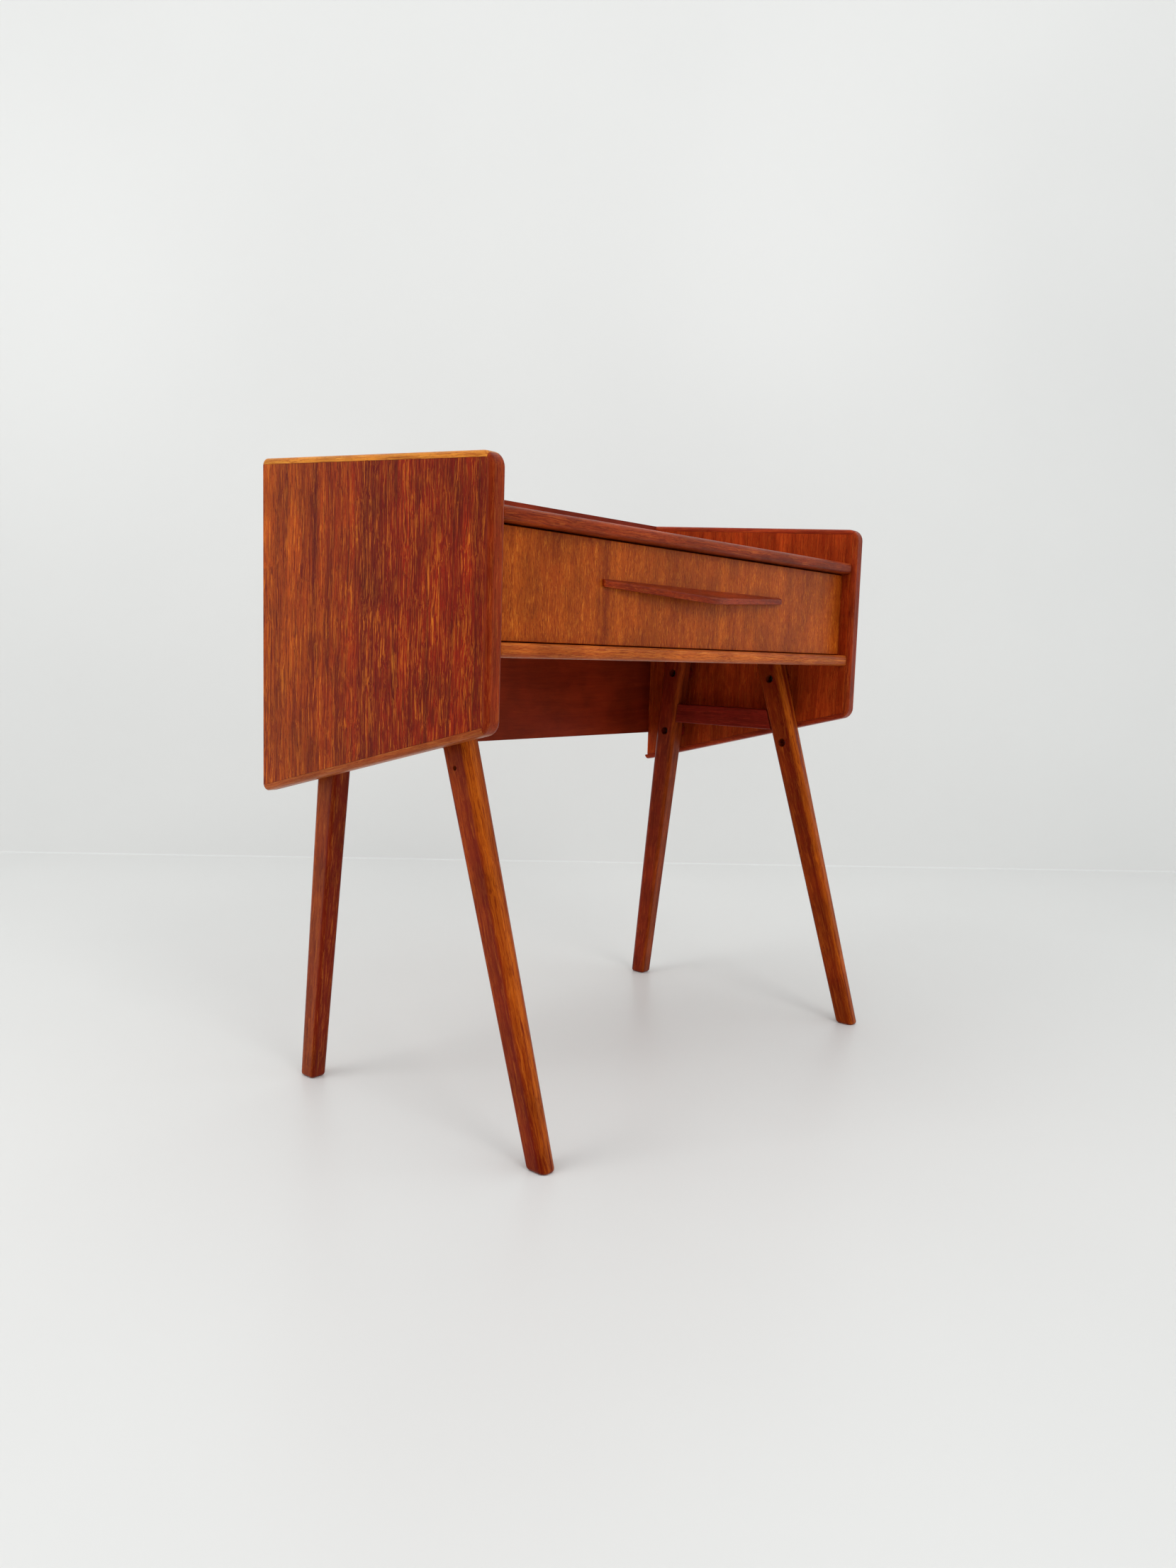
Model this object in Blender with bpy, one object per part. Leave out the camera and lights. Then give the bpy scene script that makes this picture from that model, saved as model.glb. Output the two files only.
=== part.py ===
"""Teak dressing table on two splayed A-frames, with one full-width drawer
and a lift-up lid in the top that carries a mirror on its underside.

Metres, +Z up, front towards -Y.  The origin is on the floor, at the middle
of the table's overall width and depth.
"""
import math

import bmesh
import bpy
from mathutils import Vector

for old in list(bpy.data.objects):
    bpy.data.objects.remove(old, do_unlink=True)

MM = 0.001
GAP = 0.3                    # clearance between touching pieces, mm

# ------------------------------------------------------- driving dimensions
# All in millimetres, in the case's own frame: y = 0 is the case's datum.
CASE_SHIFT_Y = 28.84         # case datum to the middle of the overall depth

OUT_X = 375.0                # outer face of a side panel
PANEL_T = 20.0               # side panel thickness
IN_X = OUT_X - PANEL_T
PANEL_FRONT = -182.0
PANEL_REAR = 178.0
TOP_Z_FRONT = 700.0          # top edge of a side panel rises to the rear
TOP_Z_REAR = 721.0
BOTTOM_Z_FRONT = 436.0       # bottom edge falls to the rear
BOTTOM_Z_REAR = 345.5
CORNER_R = 16.0              # front corners of a side panel
REAR_R = 3.5                 # rear corners of a side panel
LIP = 7.0                    # solid lipping around a side panel
LIP_R = 5.0                  # rounding of the lipping's arrises
REBATE_X = 9.0               # rebate for the back board
REBATE_Y = 5.0

TOP_Z = 653.0                # upper surface of the top
TOP_T = 14.8
EDGE_FRONT = -177.5          # front of the top's and the bottom board's edges
EDGE_DEPTH = 22.0            # depth of the solid front edges
EDGE_R = 6.0
FLOOR_Z = 508.4              # underside of the bottom board
FLOOR_T = 15.0

BACK_T = 3.4
BACK_Z0 = 390.0
BACK_Z1 = 720.4

LEG_X = 326.0                # middle plane of an A-frame
LEG_T = 24.0
LEG_T_FOOT = 21.0
LEG_STRAIGHT_Z = 380.0       # above this the leg's thickness is constant
LEG_W_TOP = 38.5             # horizontal width at the top and at the foot
LEG_W_FOOT = 26.0
LEG_R_OUT = 8.5              # rounding of the edge away from the other leg
LEG_R_IN = 4.5
FRONT_FOOT_Y = -223.7        # middle line of a front leg at the floor
FRONT_SLOPE = 0.3025
REAR_FOOT_Y = 150.0
REAR_SLOPE = -0.101
FRONT_HOLES = ((-74.5, 486.0), (-100.5, 394.5))
REAR_HOLES = ((99.5, 488.5), (110.5, 398.0))
BORE_R = 6.0                 # counterbore for a leg screw
BORE_DEPTH = 13.0
SHANK_HOLE_R = 2.6
SCREW_R = 2.3

RAIL_Z0, RAIL_Z1 = 412.7, 441.2
RAIL_T = 18.0

FRONT_Y = -162.0             # face of the drawer front
FRONT_T = 18.0
FRONT_Z0 = FLOOR_Z + FLOOR_T + 1.2
FRONT_Z1 = TOP_Z - TOP_T - 1.8
FRONT_X = IN_X - 1.5
SIDE_T = 12.0
SIDE_X = IN_X - 3.0          # outer face of a drawer side
SIDE_Z0, SIDE_Z1 = 526.5, 592.0
DRAWER_REAR = 140.0
GROOVE_Z0, GROOVE_Z1 = 552.0, 567.0
GROOVE_DEPTH = 5.8

HANDLE_HALF = 185.0
HANDLE_END = 3.5             # how far the pull stands out at its ends
HANDLE_APEX = 24.0           # and at its middle
HANDLE_Z = 595.0
HANDLE_H = 7.6
HANDLE_FALL = 0.446
HANDLE_SCREW_X = 70.0

LID_X = 220.0                # lid opening in the top
LID_Y0, LID_Y1 = -90.0, 150.0
LID_CLEAR = 0.8
LID_T = 14.3
WELL_IN_X = 212.0
WELL_T = 12.0
WELL_Z0 = 600.0
WELL_BASE_T = 4.0
MIRROR_X = 190.0
MIRROR_Y0, MIRROR_Y1 = -62.0, 118.0
MIRROR_T = 4.0
HINGE_X = 150.0
HINGE_LEN = 44.0
HINGE_R = 3.0
HINGE_PIN_R = 1.3
HINGE_Y = LID_Y1
HINGE_Z = TOP_Z + HINGE_R + 0.3
LEAF_T = 1.4
LEAF_D = 18.0


# ------------------------------------------------------------------ materials
def material(name, color, rough, metal=0.0):
    m = bpy.data.materials.new(name)
    m.use_nodes = True
    b = m.node_tree.nodes["Principled BSDF"]
    b.inputs["Base Color"].default_value = (*color, 1.0)
    b.inputs["Roughness"].default_value = rough
    b.inputs["Metallic"].default_value = metal
    return m


VENEER = ("teak_veneer", (0.36, 0.115, 0.030), 0.38, 0.0)
SOLID = ("teak_solid", (0.42, 0.150, 0.045), 0.36, 0.0)
DARK = ("teak_dark", (0.27, 0.070, 0.022), 0.36, 0.0)
PLY = ("plywood", (0.55, 0.36, 0.19), 0.55, 0.0)
BEECH = ("beech", (0.62, 0.42, 0.24), 0.50, 0.0)
BRASS = ("brass", (0.72, 0.52, 0.22), 0.30, 1.0)
STEEL = ("steel", (0.42, 0.41, 0.40), 0.40, 1.0)
MIRROR = ("mirror_glass", (0.86, 0.88, 0.89), 0.03, 1.0)


# ------------------------------------------------------------- frames (empties)
def empty(name, x, y, z):
    e = bpy.data.objects.new(name, None)
    e.location = (x * MM, (y + CASE_SHIFT_Y) * MM, z * MM)
    bpy.context.scene.collection.objects.link(e)
    return e


ORIGINS = {
    "table": (0.0, 0.0, 0.0),
    "drawer": (0.0, FRONT_Y, 0.5 * (FRONT_Z0 + FRONT_Z1)),
    "lid": (0.0, HINGE_Y, HINGE_Z),
}
EMPTIES = {k: empty(k + "_axis", *v) for k, v in ORIGINS.items()}


# -------------------------------------------------------------------- helpers
def finish(name, bm, spec, group="table", smooth=35.0):
    """Scale the shape to metres and store it as an object under its empty."""
    bmesh.ops.remove_doubles(bm, verts=bm.verts, dist=1e-4)
    bmesh.ops.recalc_face_normals(bm, faces=bm.faces)
    off = Vector(ORIGINS[group])
    for v in bm.verts:
        v.co = (v.co - off) * MM
    me = bpy.data.meshes.new(name)
    bm.to_mesh(me)
    bm.free()
    me.shade_smooth()
    me.set_sharp_from_angle(angle=math.radians(smooth))
    ob = bpy.data.objects.new(name, me)
    bpy.context.scene.collection.objects.link(ob)
    ob.parent = EMPTIES[group]
    me.materials.append(material(name + "_mat", spec[1], spec[2], spec[3]))
    return ob


def prism(points, a0, a1, axis="X"):
    """Extrude a closed outline of (u, v) points from a0 to a1 along an axis."""
    place = {
        "X": lambda u, v, a: (a, u, v),
        "Y": lambda u, v, a: (u, a, v),
        "Z": lambda u, v, a: (u, v, a),
    }[axis]
    bm = bmesh.new()
    lo = [bm.verts.new(place(u, v, a0)) for u, v in points]
    hi = [bm.verts.new(place(u, v, a1)) for u, v in points]
    n = len(points)
    bm.faces.new(lo)
    bm.faces.new(hi[::-1])
    for i in range(n):
        j = (i + 1) % n
        bm.faces.new((lo[i], hi[i], hi[j], lo[j]))
    bmesh.ops.recalc_face_normals(bm, faces=bm.faces)
    return bm


def box(x0, x1, y0, y1, z0, z1):
    return prism([(y0, z0), (y1, z0), (y1, z1), (y0, z1)], x0, x1)


def loft(rings):
    """Skin equal rings of points and cap both ends."""
    bm = bmesh.new()
    rows = [[bm.verts.new(p) for p in ring] for ring in rings]
    n = len(rings[0])
    for a, b in zip(rows, rows[1:]):
        for i in range(n):
            j = (i + 1) % n
            bm.faces.new((a[i], a[j], b[j], b[i]))
    bm.faces.new(rows[0][::-1])
    bm.faces.new(rows[-1])
    bmesh.ops.recalc_face_normals(bm, faces=bm.faces)
    return bm


def circle(u, v, r, n):
    return [(u + r * math.cos(2 * math.pi * i / n),
             v + r * math.sin(2 * math.pi * i / n)) for i in range(n)]


def rounded(points, radii, seg=4):
    """Round the corners of a closed outline, one radius for each corner."""
    out = []
    n = len(points)
    for i, (p, r) in enumerate(zip(points, radii)):
        p = Vector(p)
        if r <= 0:
            out.append(tuple(p))
            continue
        a = (Vector(points[i - 1]) - p).normalized()
        b = (Vector(points[(i + 1) % n]) - p).normalized()
        half = a.angle(b) / 2
        centre = p + (a + b).normalized() * (r / math.sin(half))
        start = p + a * (r / math.tan(half)) - centre
        end = p + b * (r / math.tan(half)) - centre
        t0 = math.atan2(start.y, start.x)
        dt = (math.atan2(end.y, end.x) - t0 + math.pi) % (2 * math.pi) - math.pi
        for k in range(seg + 1):
            t = t0 + dt * k / seg
            out.append((centre.x + r * math.cos(t), centre.y + r * math.sin(t)))
    return out


def soften(bm, width, seg=2, angle=40.0):
    """Bevel every edge sharper than the angle."""
    edges = [e for e in bm.edges
             if len(e.link_faces) == 2
             and e.calc_face_angle(0.0) > math.radians(angle)]
    bmesh.ops.bevel(bm, geom=edges, offset=width, segments=seg, profile=0.5,
                    affect="EDGES", clamp_overlap=True)
    return bm


def combine(bm, others, operation="DIFFERENCE"):
    """Boolean a shape with others, in order, and return the new shape."""
    def hold(shape):
        me = bpy.data.meshes.new("work")
        shape.to_mesh(me)
        shape.free()
        ob = bpy.data.objects.new("work", me)
        bpy.context.scene.collection.objects.link(ob)
        return ob

    base = hold(bm)
    cutters = []
    for other in others:
        c = hold(other)
        c.hide_render = True
        c.display_type = "WIRE"
        m = base.modifiers.new("cut", "BOOLEAN")
        m.operation = operation
        m.solver = "EXACT"
        m.object = c
        cutters.append(c)
    deps = bpy.context.evaluated_depsgraph_get()
    deps.update()
    me = bpy.data.meshes.new_from_object(base.evaluated_get(deps))
    out = bmesh.new()
    out.from_mesh(me)
    for ob in cutters + [base]:
        old_mesh = ob.data
        bpy.data.objects.remove(ob, do_unlink=True)
        bpy.data.meshes.remove(old_mesh)
    bpy.data.meshes.remove(me)
    return out


def flip_x(bm, side):
    """Mirror a shape made for the right-hand side when side is -1."""
    if side < 0:
        for v in bm.verts:
            v.co.x = -v.co.x
        bmesh.ops.reverse_faces(bm, faces=bm.faces)
    return bm


SIDES = (("left", -1), ("right", 1))


# ---------------------------------------------------------------- side panels
def line_z(y, z_front, z_rear):
    return z_front + (z_rear - z_front) * (y - PANEL_FRONT) / (PANEL_REAR - PANEL_FRONT)


def panel_corners(inset):
    """Corners of a panel's side view, drawn in from its bottom, front and top."""
    run = PANEL_REAR - PANEL_FRONT
    low = inset / math.cos(math.atan2(BOTTOM_Z_FRONT - BOTTOM_Z_REAR, run))
    high = inset / math.cos(math.atan2(TOP_Z_REAR - TOP_Z_FRONT, run))
    y0, y1 = PANEL_FRONT + inset, PANEL_REAR
    return [(y1, line_z(y1, BOTTOM_Z_FRONT, BOTTOM_Z_REAR) + low),
            (y0, line_z(y0, BOTTOM_Z_FRONT, BOTTOM_Z_REAR) + low),
            (y0, line_z(y0, TOP_Z_FRONT, TOP_Z_REAR) - high),
            (y1, line_z(y1, TOP_Z_FRONT, TOP_Z_REAR) - high)]


def panel_blank(seg=4):
    """The whole panel with its arrises rounded, before it is split up."""
    stations = []
    for k in range(seg + 1):
        t = math.pi / 2 * k / seg
        stations.append((IN_X + LIP_R * (1 - math.cos(t)), LIP_R * (1 - math.sin(t))))
    stations += [(IN_X + OUT_X - x, inset) for x, inset in reversed(stations)]
    rings = []
    for x, inset in stations:
        r = CORNER_R - inset
        outline = rounded(panel_corners(inset), [REAR_R, r, r, REAR_R], 8)
        rings.append([(x, y, z) for y, z in outline])
    return loft(rings)


def across(y0, y1):
    return box(IN_X - 5, OUT_X + 5, y0, y1, BOTTOM_Z_REAR - 60, TOP_Z_REAR + 60)


def beyond_line(z_front, z_rear, shift, far):
    """Everything between a panel's long edge, moved by shift, and far."""
    run = PANEL_REAR - PANEL_FRONT
    shift = shift / math.cos(math.atan2(z_rear - z_front, run))
    y0, y1 = PANEL_FRONT - 60, PANEL_REAR + 60
    return prism([(y0, line_z(y0, z_front, z_rear) + shift), (y0, far), (y1, far),
                  (y1, line_z(y1, z_front, z_rear) + shift)], IN_X - 5, OUT_X + 5)


def lip(which):
    """One lipping: the front one runs through, the others butt against it."""
    inner = PANEL_FRONT + LIP
    if which == "front":
        return combine(panel_blank(), [across(inner - GAP / 2, PANEL_REAR + 30)])
    keep = LIP - GAP / 2
    if which == "top":
        rest = beyond_line(TOP_Z_FRONT, TOP_Z_REAR, -keep, BOTTOM_Z_REAR - 90)
    else:
        rest = beyond_line(BOTTOM_Z_FRONT, BOTTOM_Z_REAR, keep, TOP_Z_REAR + 90)
    return combine(panel_blank(), [across(PANEL_FRONT - 30, inner + GAP / 2), rest])


def rebate_cutter():
    return box(IN_X - 5, IN_X + REBATE_X, PANEL_REAR - REBATE_Y, PANEL_REAR + 5,
               BOTTOM_Z_REAR - 20, TOP_Z_REAR + 20)


def bore_x(y, z, r, x0, x1, n=20):
    return prism(circle(y, z, r, n), x0, x1)


for side_name, side in SIDES:
    core = prism(panel_corners(LIP + GAP / 2), IN_X, OUT_X)
    cuts = [rebate_cutter()]
    for y, z in (FRONT_HOLES[0],) + REAR_HOLES:
        cuts.append(bore_x(y, z, SHANK_HOLE_R, IN_X - 5, IN_X + 13, 16))
    core = combine(core, cuts)
    finish("side_panel_" + side_name, flip_x(core, side), VENEER)
    for which in ("bottom", "front", "top"):
        piece = lip(which)
        if which == "top":
            piece = combine(piece, [rebate_cutter()])
        spec = DARK if which == "front" else SOLID
        finish(f"panel_{which}_lip_{side_name}", flip_x(piece, side), spec)

# -------------------------------------------------------------------- carcase
back_x = IN_X + REBATE_X - GAP
back = box(-back_x, back_x, PANEL_REAR - REBATE_Y + GAP, PANEL_REAR - REBATE_Y + GAP + BACK_T,
           BACK_Z0, BACK_Z1)
BACK_SCREWS = [(sx * (IN_X + 4.4), z) for sx in (-1, 1) for z in (430.0, 680.0)]
back = combine(back, [prism(circle(x, z, 1.9, 14), PANEL_REAR - 20, PANEL_REAR + 10, "Y")
                      for x, z in BACK_SCREWS])
finish("back_board", back, VENEER)


def front_edge(z0, t):
    """Solid front edge, its face rounded off along the arrises and the ends."""
    bm = box(-(IN_X - GAP), IN_X - GAP, EDGE_FRONT, EDGE_FRONT + EDGE_DEPTH - GAP / 2, z0, z0 + t)
    edges = [e for e in bm.edges if all(v.co.y < EDGE_FRONT + 1 for v in e.verts)]
    bmesh.ops.bevel(bm, geom=edges, offset=EDGE_R, segments=6, profile=0.5, affect="EDGES")
    return bm


BOARD_X = IN_X - GAP
BOARD_Y0 = EDGE_FRONT + EDGE_DEPTH + GAP / 2
BOARD_Y1 = PANEL_REAR - REBATE_Y
top = box(-BOARD_X, BOARD_X, BOARD_Y0, BOARD_Y1, TOP_Z - TOP_T, TOP_Z)
top = combine(top, [box(-LID_X, LID_X, LID_Y0, LID_Y1, TOP_Z - 60, TOP_Z + 60)])
finish("tabletop", top, VENEER)
finish("tabletop_front_edge", front_edge(TOP_Z - TOP_T, TOP_T), DARK)
finish("bottom_board", box(-BOARD_X, BOARD_X, BOARD_Y0, BOARD_Y1, FLOOR_Z, FLOOR_Z + FLOOR_T), VENEER)
finish("bottom_board_front_edge", front_edge(FLOOR_Z, FLOOR_T), SOLID)

for side_name, side in SIDES:
    runner = box(SIDE_X - GROOVE_DEPTH + 0.6, IN_X - GAP, FRONT_Y + FRONT_T + 6, 152.0,
                 GROOVE_Z0 + 0.7, GROOVE_Z1 - 0.7)
    finish("drawer_runner_" + side_name, flip_x(runner, side), BEECH)

# shallow well under the lid
well_out_x = WELL_IN_X + WELL_T
well_y0, well_y1 = LID_Y0 + 8, LID_Y1 - 8
well_z1 = TOP_Z - TOP_T - GAP
well = box(-well_out_x, well_out_x, well_y0 - WELL_T, well_y1 + WELL_T, WELL_Z0, well_z1)
well = combine(well, [box(-WELL_IN_X, WELL_IN_X, well_y0, well_y1, WELL_Z0 - 30, well_z1 + 30)])
finish("mirror_well_frame", well, BEECH)
finish("mirror_well_base", box(-well_out_x, well_out_x, well_y0 - WELL_T, well_y1 + WELL_T,
                               WELL_Z0 - GAP - WELL_BASE_T, WELL_Z0 - GAP), PLY)


# ----------------------------------------------------------------------- legs
def leg_width(z):
    return LEG_W_FOOT + (LEG_W_TOP - LEG_W_FOOT) * z / FLOOR_Z


def leg_thickness(z):
    return LEG_T if z >= LEG_STRAIGHT_Z else \
        LEG_T_FOOT + (LEG_T - LEG_T_FOOT) * z / LEG_STRAIGHT_Z


def leg_middle(z, front):
    if front:
        return FRONT_FOOT_Y + FRONT_SLOPE * z
    return REAR_FOOT_Y + REAR_SLOPE * z


def leg_ring(z, front, inset=0.0):
    w = leg_width(z) / 2 - inset
    t = leg_thickness(z) / 2 - inset
    yc = leg_middle(z, front)
    away = -1 if front else 1
    ro, ri = LEG_R_OUT - inset, LEG_R_IN - inset * 0.6
    outline = rounded([(LEG_X - t, yc - away * w), (LEG_X + t, yc - away * w),
                       (LEG_X + t, yc + away * w), (LEG_X - t, yc + away * w)],
                      [ri, ri, ro, ro], 6)
    return [(x, y, z) for x, y in outline]


def leg_shape(front):
    top = FLOOR_Z - GAP
    rings = []
    r = 4.0
    for k in range(5):
        a = math.pi / 2 * k / 4
        rings.append(leg_ring(r - r * math.sin(a) if k < 4 else 0.0, front,
                              r - r * math.cos(a) if k < 4 else r * 0.85))
    rings = rings[::-1]
    rings += [leg_ring(z, front) for z in (130.0, 255.0, LEG_STRAIGHT_Z, top)]
    return loft(rings)


def leg_cutters(holes):
    cuts = []
    inner = LEG_X - LEG_T / 2
    for y, z in holes:
        cuts.append(bore_x(y, z, BORE_R, inner - 10, inner + BORE_DEPTH, 24))
        cuts.append(bore_x(y, z, SHANK_HOLE_R, inner - 5, LEG_X + LEG_T / 2 + 10, 16))
    return cuts


def turned_x(profile, y, z, n=20):
    """Revolve (x, radius) points about a line along X through (y, z)."""
    rings = [[(x, y + r * math.cos(2 * math.pi * i / n), z + r * math.sin(2 * math.pi * i / n))
              for i in range(n)] for x, r in profile]
    return loft(rings)


def edge_y(z, front):
    """The edge of a leg that faces the other leg."""
    return leg_middle(z, front) + (1 if front else -1) * leg_width(z) / 2


inner_face = LEG_X - LEG_T / 2
outer_face = LEG_X + LEG_T / 2
seat = inner_face + BORE_DEPTH
for side_name, side in SIDES:
    for front, holes in ((True, FRONT_HOLES), (False, REAR_HOLES)):
        leg = combine(leg_shape(front), leg_cutters(holes))
        finish(f"leg_{'front' if front else 'rear'}_{side_name}", flip_x(leg, side), SOLID)
    a, b = RAIL_Z0, RAIL_Z1
    outline = [(edge_y(a, True) + GAP, a), (edge_y(a, False) - GAP, a),
               (edge_y(b, False) - GAP, b), (edge_y(b, True) + GAP, b)]
    rail = prism(outline, inner_face + 0.2, inner_face + 0.2 + RAIL_T)
    soften(rail, 1.2, 2)
    finish("stretcher_" + side_name, flip_x(rail, side), SOLID)
    for label, (y, z) in (("front", FRONT_HOLES[0]), ("rear_upper", REAR_HOLES[0]),
                          ("rear_lower", REAR_HOLES[1])):
        ring = turned_x([(outer_face + GAP, 10.0), (outer_face + GAP + 1, 11.0),
                         (IN_X - GAP - 1, 11.0), (IN_X - GAP, 10.0)], y, z, 28)
        ring = combine(ring, [bore_x(y, z, SHANK_HOLE_R, outer_face - 5, IN_X + 5, 16)])
        finish(f"spacer_{label}_{side_name}", flip_x(ring, side), SOLID)
        screw = turned_x([(seat - 3.2, 1.6), (seat - 3.2, 4.4), (seat - 2.0, 5.2),
                          (seat - GAP, 5.2), (seat - GAP, SCREW_R),
                          (IN_X + 9, SCREW_R), (IN_X + 11.5, 0.9)], y, z, 20)
        slot = box(seat - 4.5, seat - 2.2, y - 0.5, y + 0.5, z - 7, z + 7)
        screw = combine(screw, [slot])
        finish(f"leg_screw_{label}_{side_name}", flip_x(screw, side), STEEL)

# --------------------------------------------------------------------- drawer
front = box(-FRONT_X, FRONT_X, FRONT_Y, FRONT_Y + FRONT_T, FRONT_Z0, FRONT_Z1)
soften(front, 0.8, 2)
screw_z = HANDLE_Z - 5.0
cuts = []
for sx in (-1, 1):
    cuts.append(prism(circle(sx * HANDLE_SCREW_X, screw_z, 1.9, 14), FRONT_Y - 5, FRONT_Y + 40, "Y"))
    cuts.append(prism(circle(sx * HANDLE_SCREW_X, screw_z, 4.2, 18),
                      FRONT_Y + FRONT_T - 2.5, FRONT_Y + FRONT_T + 10, "Y"))
finish("drawer_front", combine(front, cuts), VENEER, "drawer")

side_y0 = FRONT_Y + FRONT_T + GAP
for side_name, side in SIDES:
    cheek = box(SIDE_X - SIDE_T, SIDE_X, side_y0, DRAWER_REAR, SIDE_Z0, SIDE_Z1)
    cheek = combine(cheek, [box(SIDE_X - GROOVE_DEPTH, SIDE_X + 5, side_y0 - 5, DRAWER_REAR + 5,
                                GROOVE_Z0, GROOVE_Z1)])
    finish("drawer_side_" + side_name, flip_x(cheek, side), BEECH, "drawer")
cheek_in = SIDE_X - SIDE_T - GAP
finish("drawer_back", box(-cheek_in, cheek_in, DRAWER_REAR - 11, DRAWER_REAR - 1,
                          SIDE_Z0 + 8, SIDE_Z1 - 2), BEECH, "drawer")
finish("drawer_bottom", box(-cheek_in, cheek_in, side_y0, DRAWER_REAR - 11 - GAP,
                            SIDE_Z0 + 5, SIDE_Z0 + 9), PLY, "drawer")


def handle_shape():
    """Arrow-shaped pull: widest in the middle, its top falling forwards."""
    plan = [(-HANDLE_HALF, 0.0), (-HANDLE_HALF, HANDLE_END)]
    n = 6
    for k in range(1, 2 * n):
        x = -HANDLE_HALF + HANDLE_HALF * k / n
        f = 1 - abs(x) / HANDLE_HALF
        plan.append((x, HANDLE_END + (HANDLE_APEX - HANDLE_END) * f - (0.6 if k == n else 0)))
    plan += [(HANDLE_HALF, HANDLE_END), (HANDLE_HALF, 0.0)]
    bm = bmesh.new()
    upper, lower = [], []
    for x, p in plan:
        y = FRONT_Y - GAP - p
        z = HANDLE_Z - HANDLE_FALL * p
        upper.append(bm.verts.new((x, y, z)))
        lower.append(bm.verts.new((x, y, z - HANDLE_H)))
    n = len(plan)
    bm.faces.new(upper)
    bm.faces.new(lower[::-1])
    for i in range(n):
        j = (i + 1) % n
        bm.faces.new((upper[i], lower[i], lower[j], upper[j]))
    bmesh.ops.recalc_face_normals(bm, faces=bm.faces)
    front_y = FRONT_Y - GAP - 0.5
    edges = [e for e in bm.edges if e.calc_face_angle(0.0) > math.radians(40)
             and not all(v.co.y > front_y for v in e.verts)]
    bmesh.ops.bevel(bm, geom=edges, offset=1.3, segments=3, profile=0.5,
                    affect="EDGES", clamp_overlap=True)
    return bm


cuts = [prism(circle(sx * HANDLE_SCREW_X, screw_z, 1.8, 14), FRONT_Y - 6.3, FRONT_Y + 10, "Y")
        for sx in (-1, 1)]
finish("drawer_handle", combine(handle_shape(), cuts), DARK, "drawer", 25.0)


def turned_y(profile, x, z, n=16):
    rings = [[(x + r * math.cos(2 * math.pi * i / n), y, z + r * math.sin(2 * math.pi * i / n))
              for i in range(n)] for y, r in profile]
    return loft(rings)


for side_name, side in SIDES:
    y1 = FRONT_Y + FRONT_T
    screw = turned_y([(FRONT_Y - 5.6, 0.8), (FRONT_Y - 4.4, 1.4), (y1 - 2.2, 1.4),
                      (y1 - 2.2, 3.8), (y1 - 1.0, 3.8), (y1 - 0.6, 3.2)],
                     side * HANDLE_SCREW_X, screw_z)
    finish("handle_screw_" + side_name, screw, STEEL, "drawer")

rear_face = PANEL_REAR - REBATE_Y + GAP + BACK_T
for i, (x, z) in enumerate(BACK_SCREWS):
    screw = turned_y([(PANEL_REAR - REBATE_Y + 0.5, 1.5), (rear_face + 0.3, 1.5),
                      (rear_face + 0.3, 3.0), (rear_face + 0.7, 2.6), (rear_face + 1.0, 1.4)], x, z)
    finish(f"back_screw_{i + 1}", screw, STEEL)

# ------------------------------------------------------------------------ lid
lid_z0 = TOP_Z - 0.3 - LID_T
lid = box(-LID_X + LID_CLEAR, LID_X - LID_CLEAR, LID_Y0 + LID_CLEAR, LID_Y1 - LID_CLEAR,
          lid_z0, lid_z0 + LID_T)
soften(lid, 0.6, 2)
lid = combine(lid, [prism(circle(0.0, LID_Y0 - 4.0, 17.0, 32), lid_z0 - 10, TOP_Z + 10, "Z")])
finish("lid", lid, VENEER, "lid")
glass_z1 = lid_z0 - GAP
glass = box(-MIRROR_X, MIRROR_X, MIRROR_Y0, MIRROR_Y1, glass_z1 - MIRROR_T, glass_z1)
soften(glass, 0.8, 1)
finish("mirror", glass, MIRROR, "lid")


def clip_shape(side, y):
    """Small folded clip: a tab under the lid and a lip under the glass edge."""
    x = MIRROR_X + GAP
    z = glass_z1
    outline = [(x - 4.0, z - MIRROR_T - GAP - 1.0), (x + 1.2, z - MIRROR_T - GAP - 1.0),
               (x + 1.2, z - 1.0), (x + 12.0, z - 1.0), (x + 12.0, z), (x, z),
               (x, z - MIRROR_T - GAP), (x - 4.0, z - MIRROR_T - GAP)]
    return flip_x(prism(outline, y - 7, y + 7, "Y"), side)


for side_name, side in SIDES:
    for label, y in (("front", -20.0), ("rear", 76.0)):
        finish(f"mirror_clip_{label}_{side_name}", clip_shape(side, y), BRASS, "lid")


def knuckle(x0, x1):
    return prism(circle(HINGE_Y, HINGE_Z, HINGE_R, 20), x0, x1)


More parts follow.
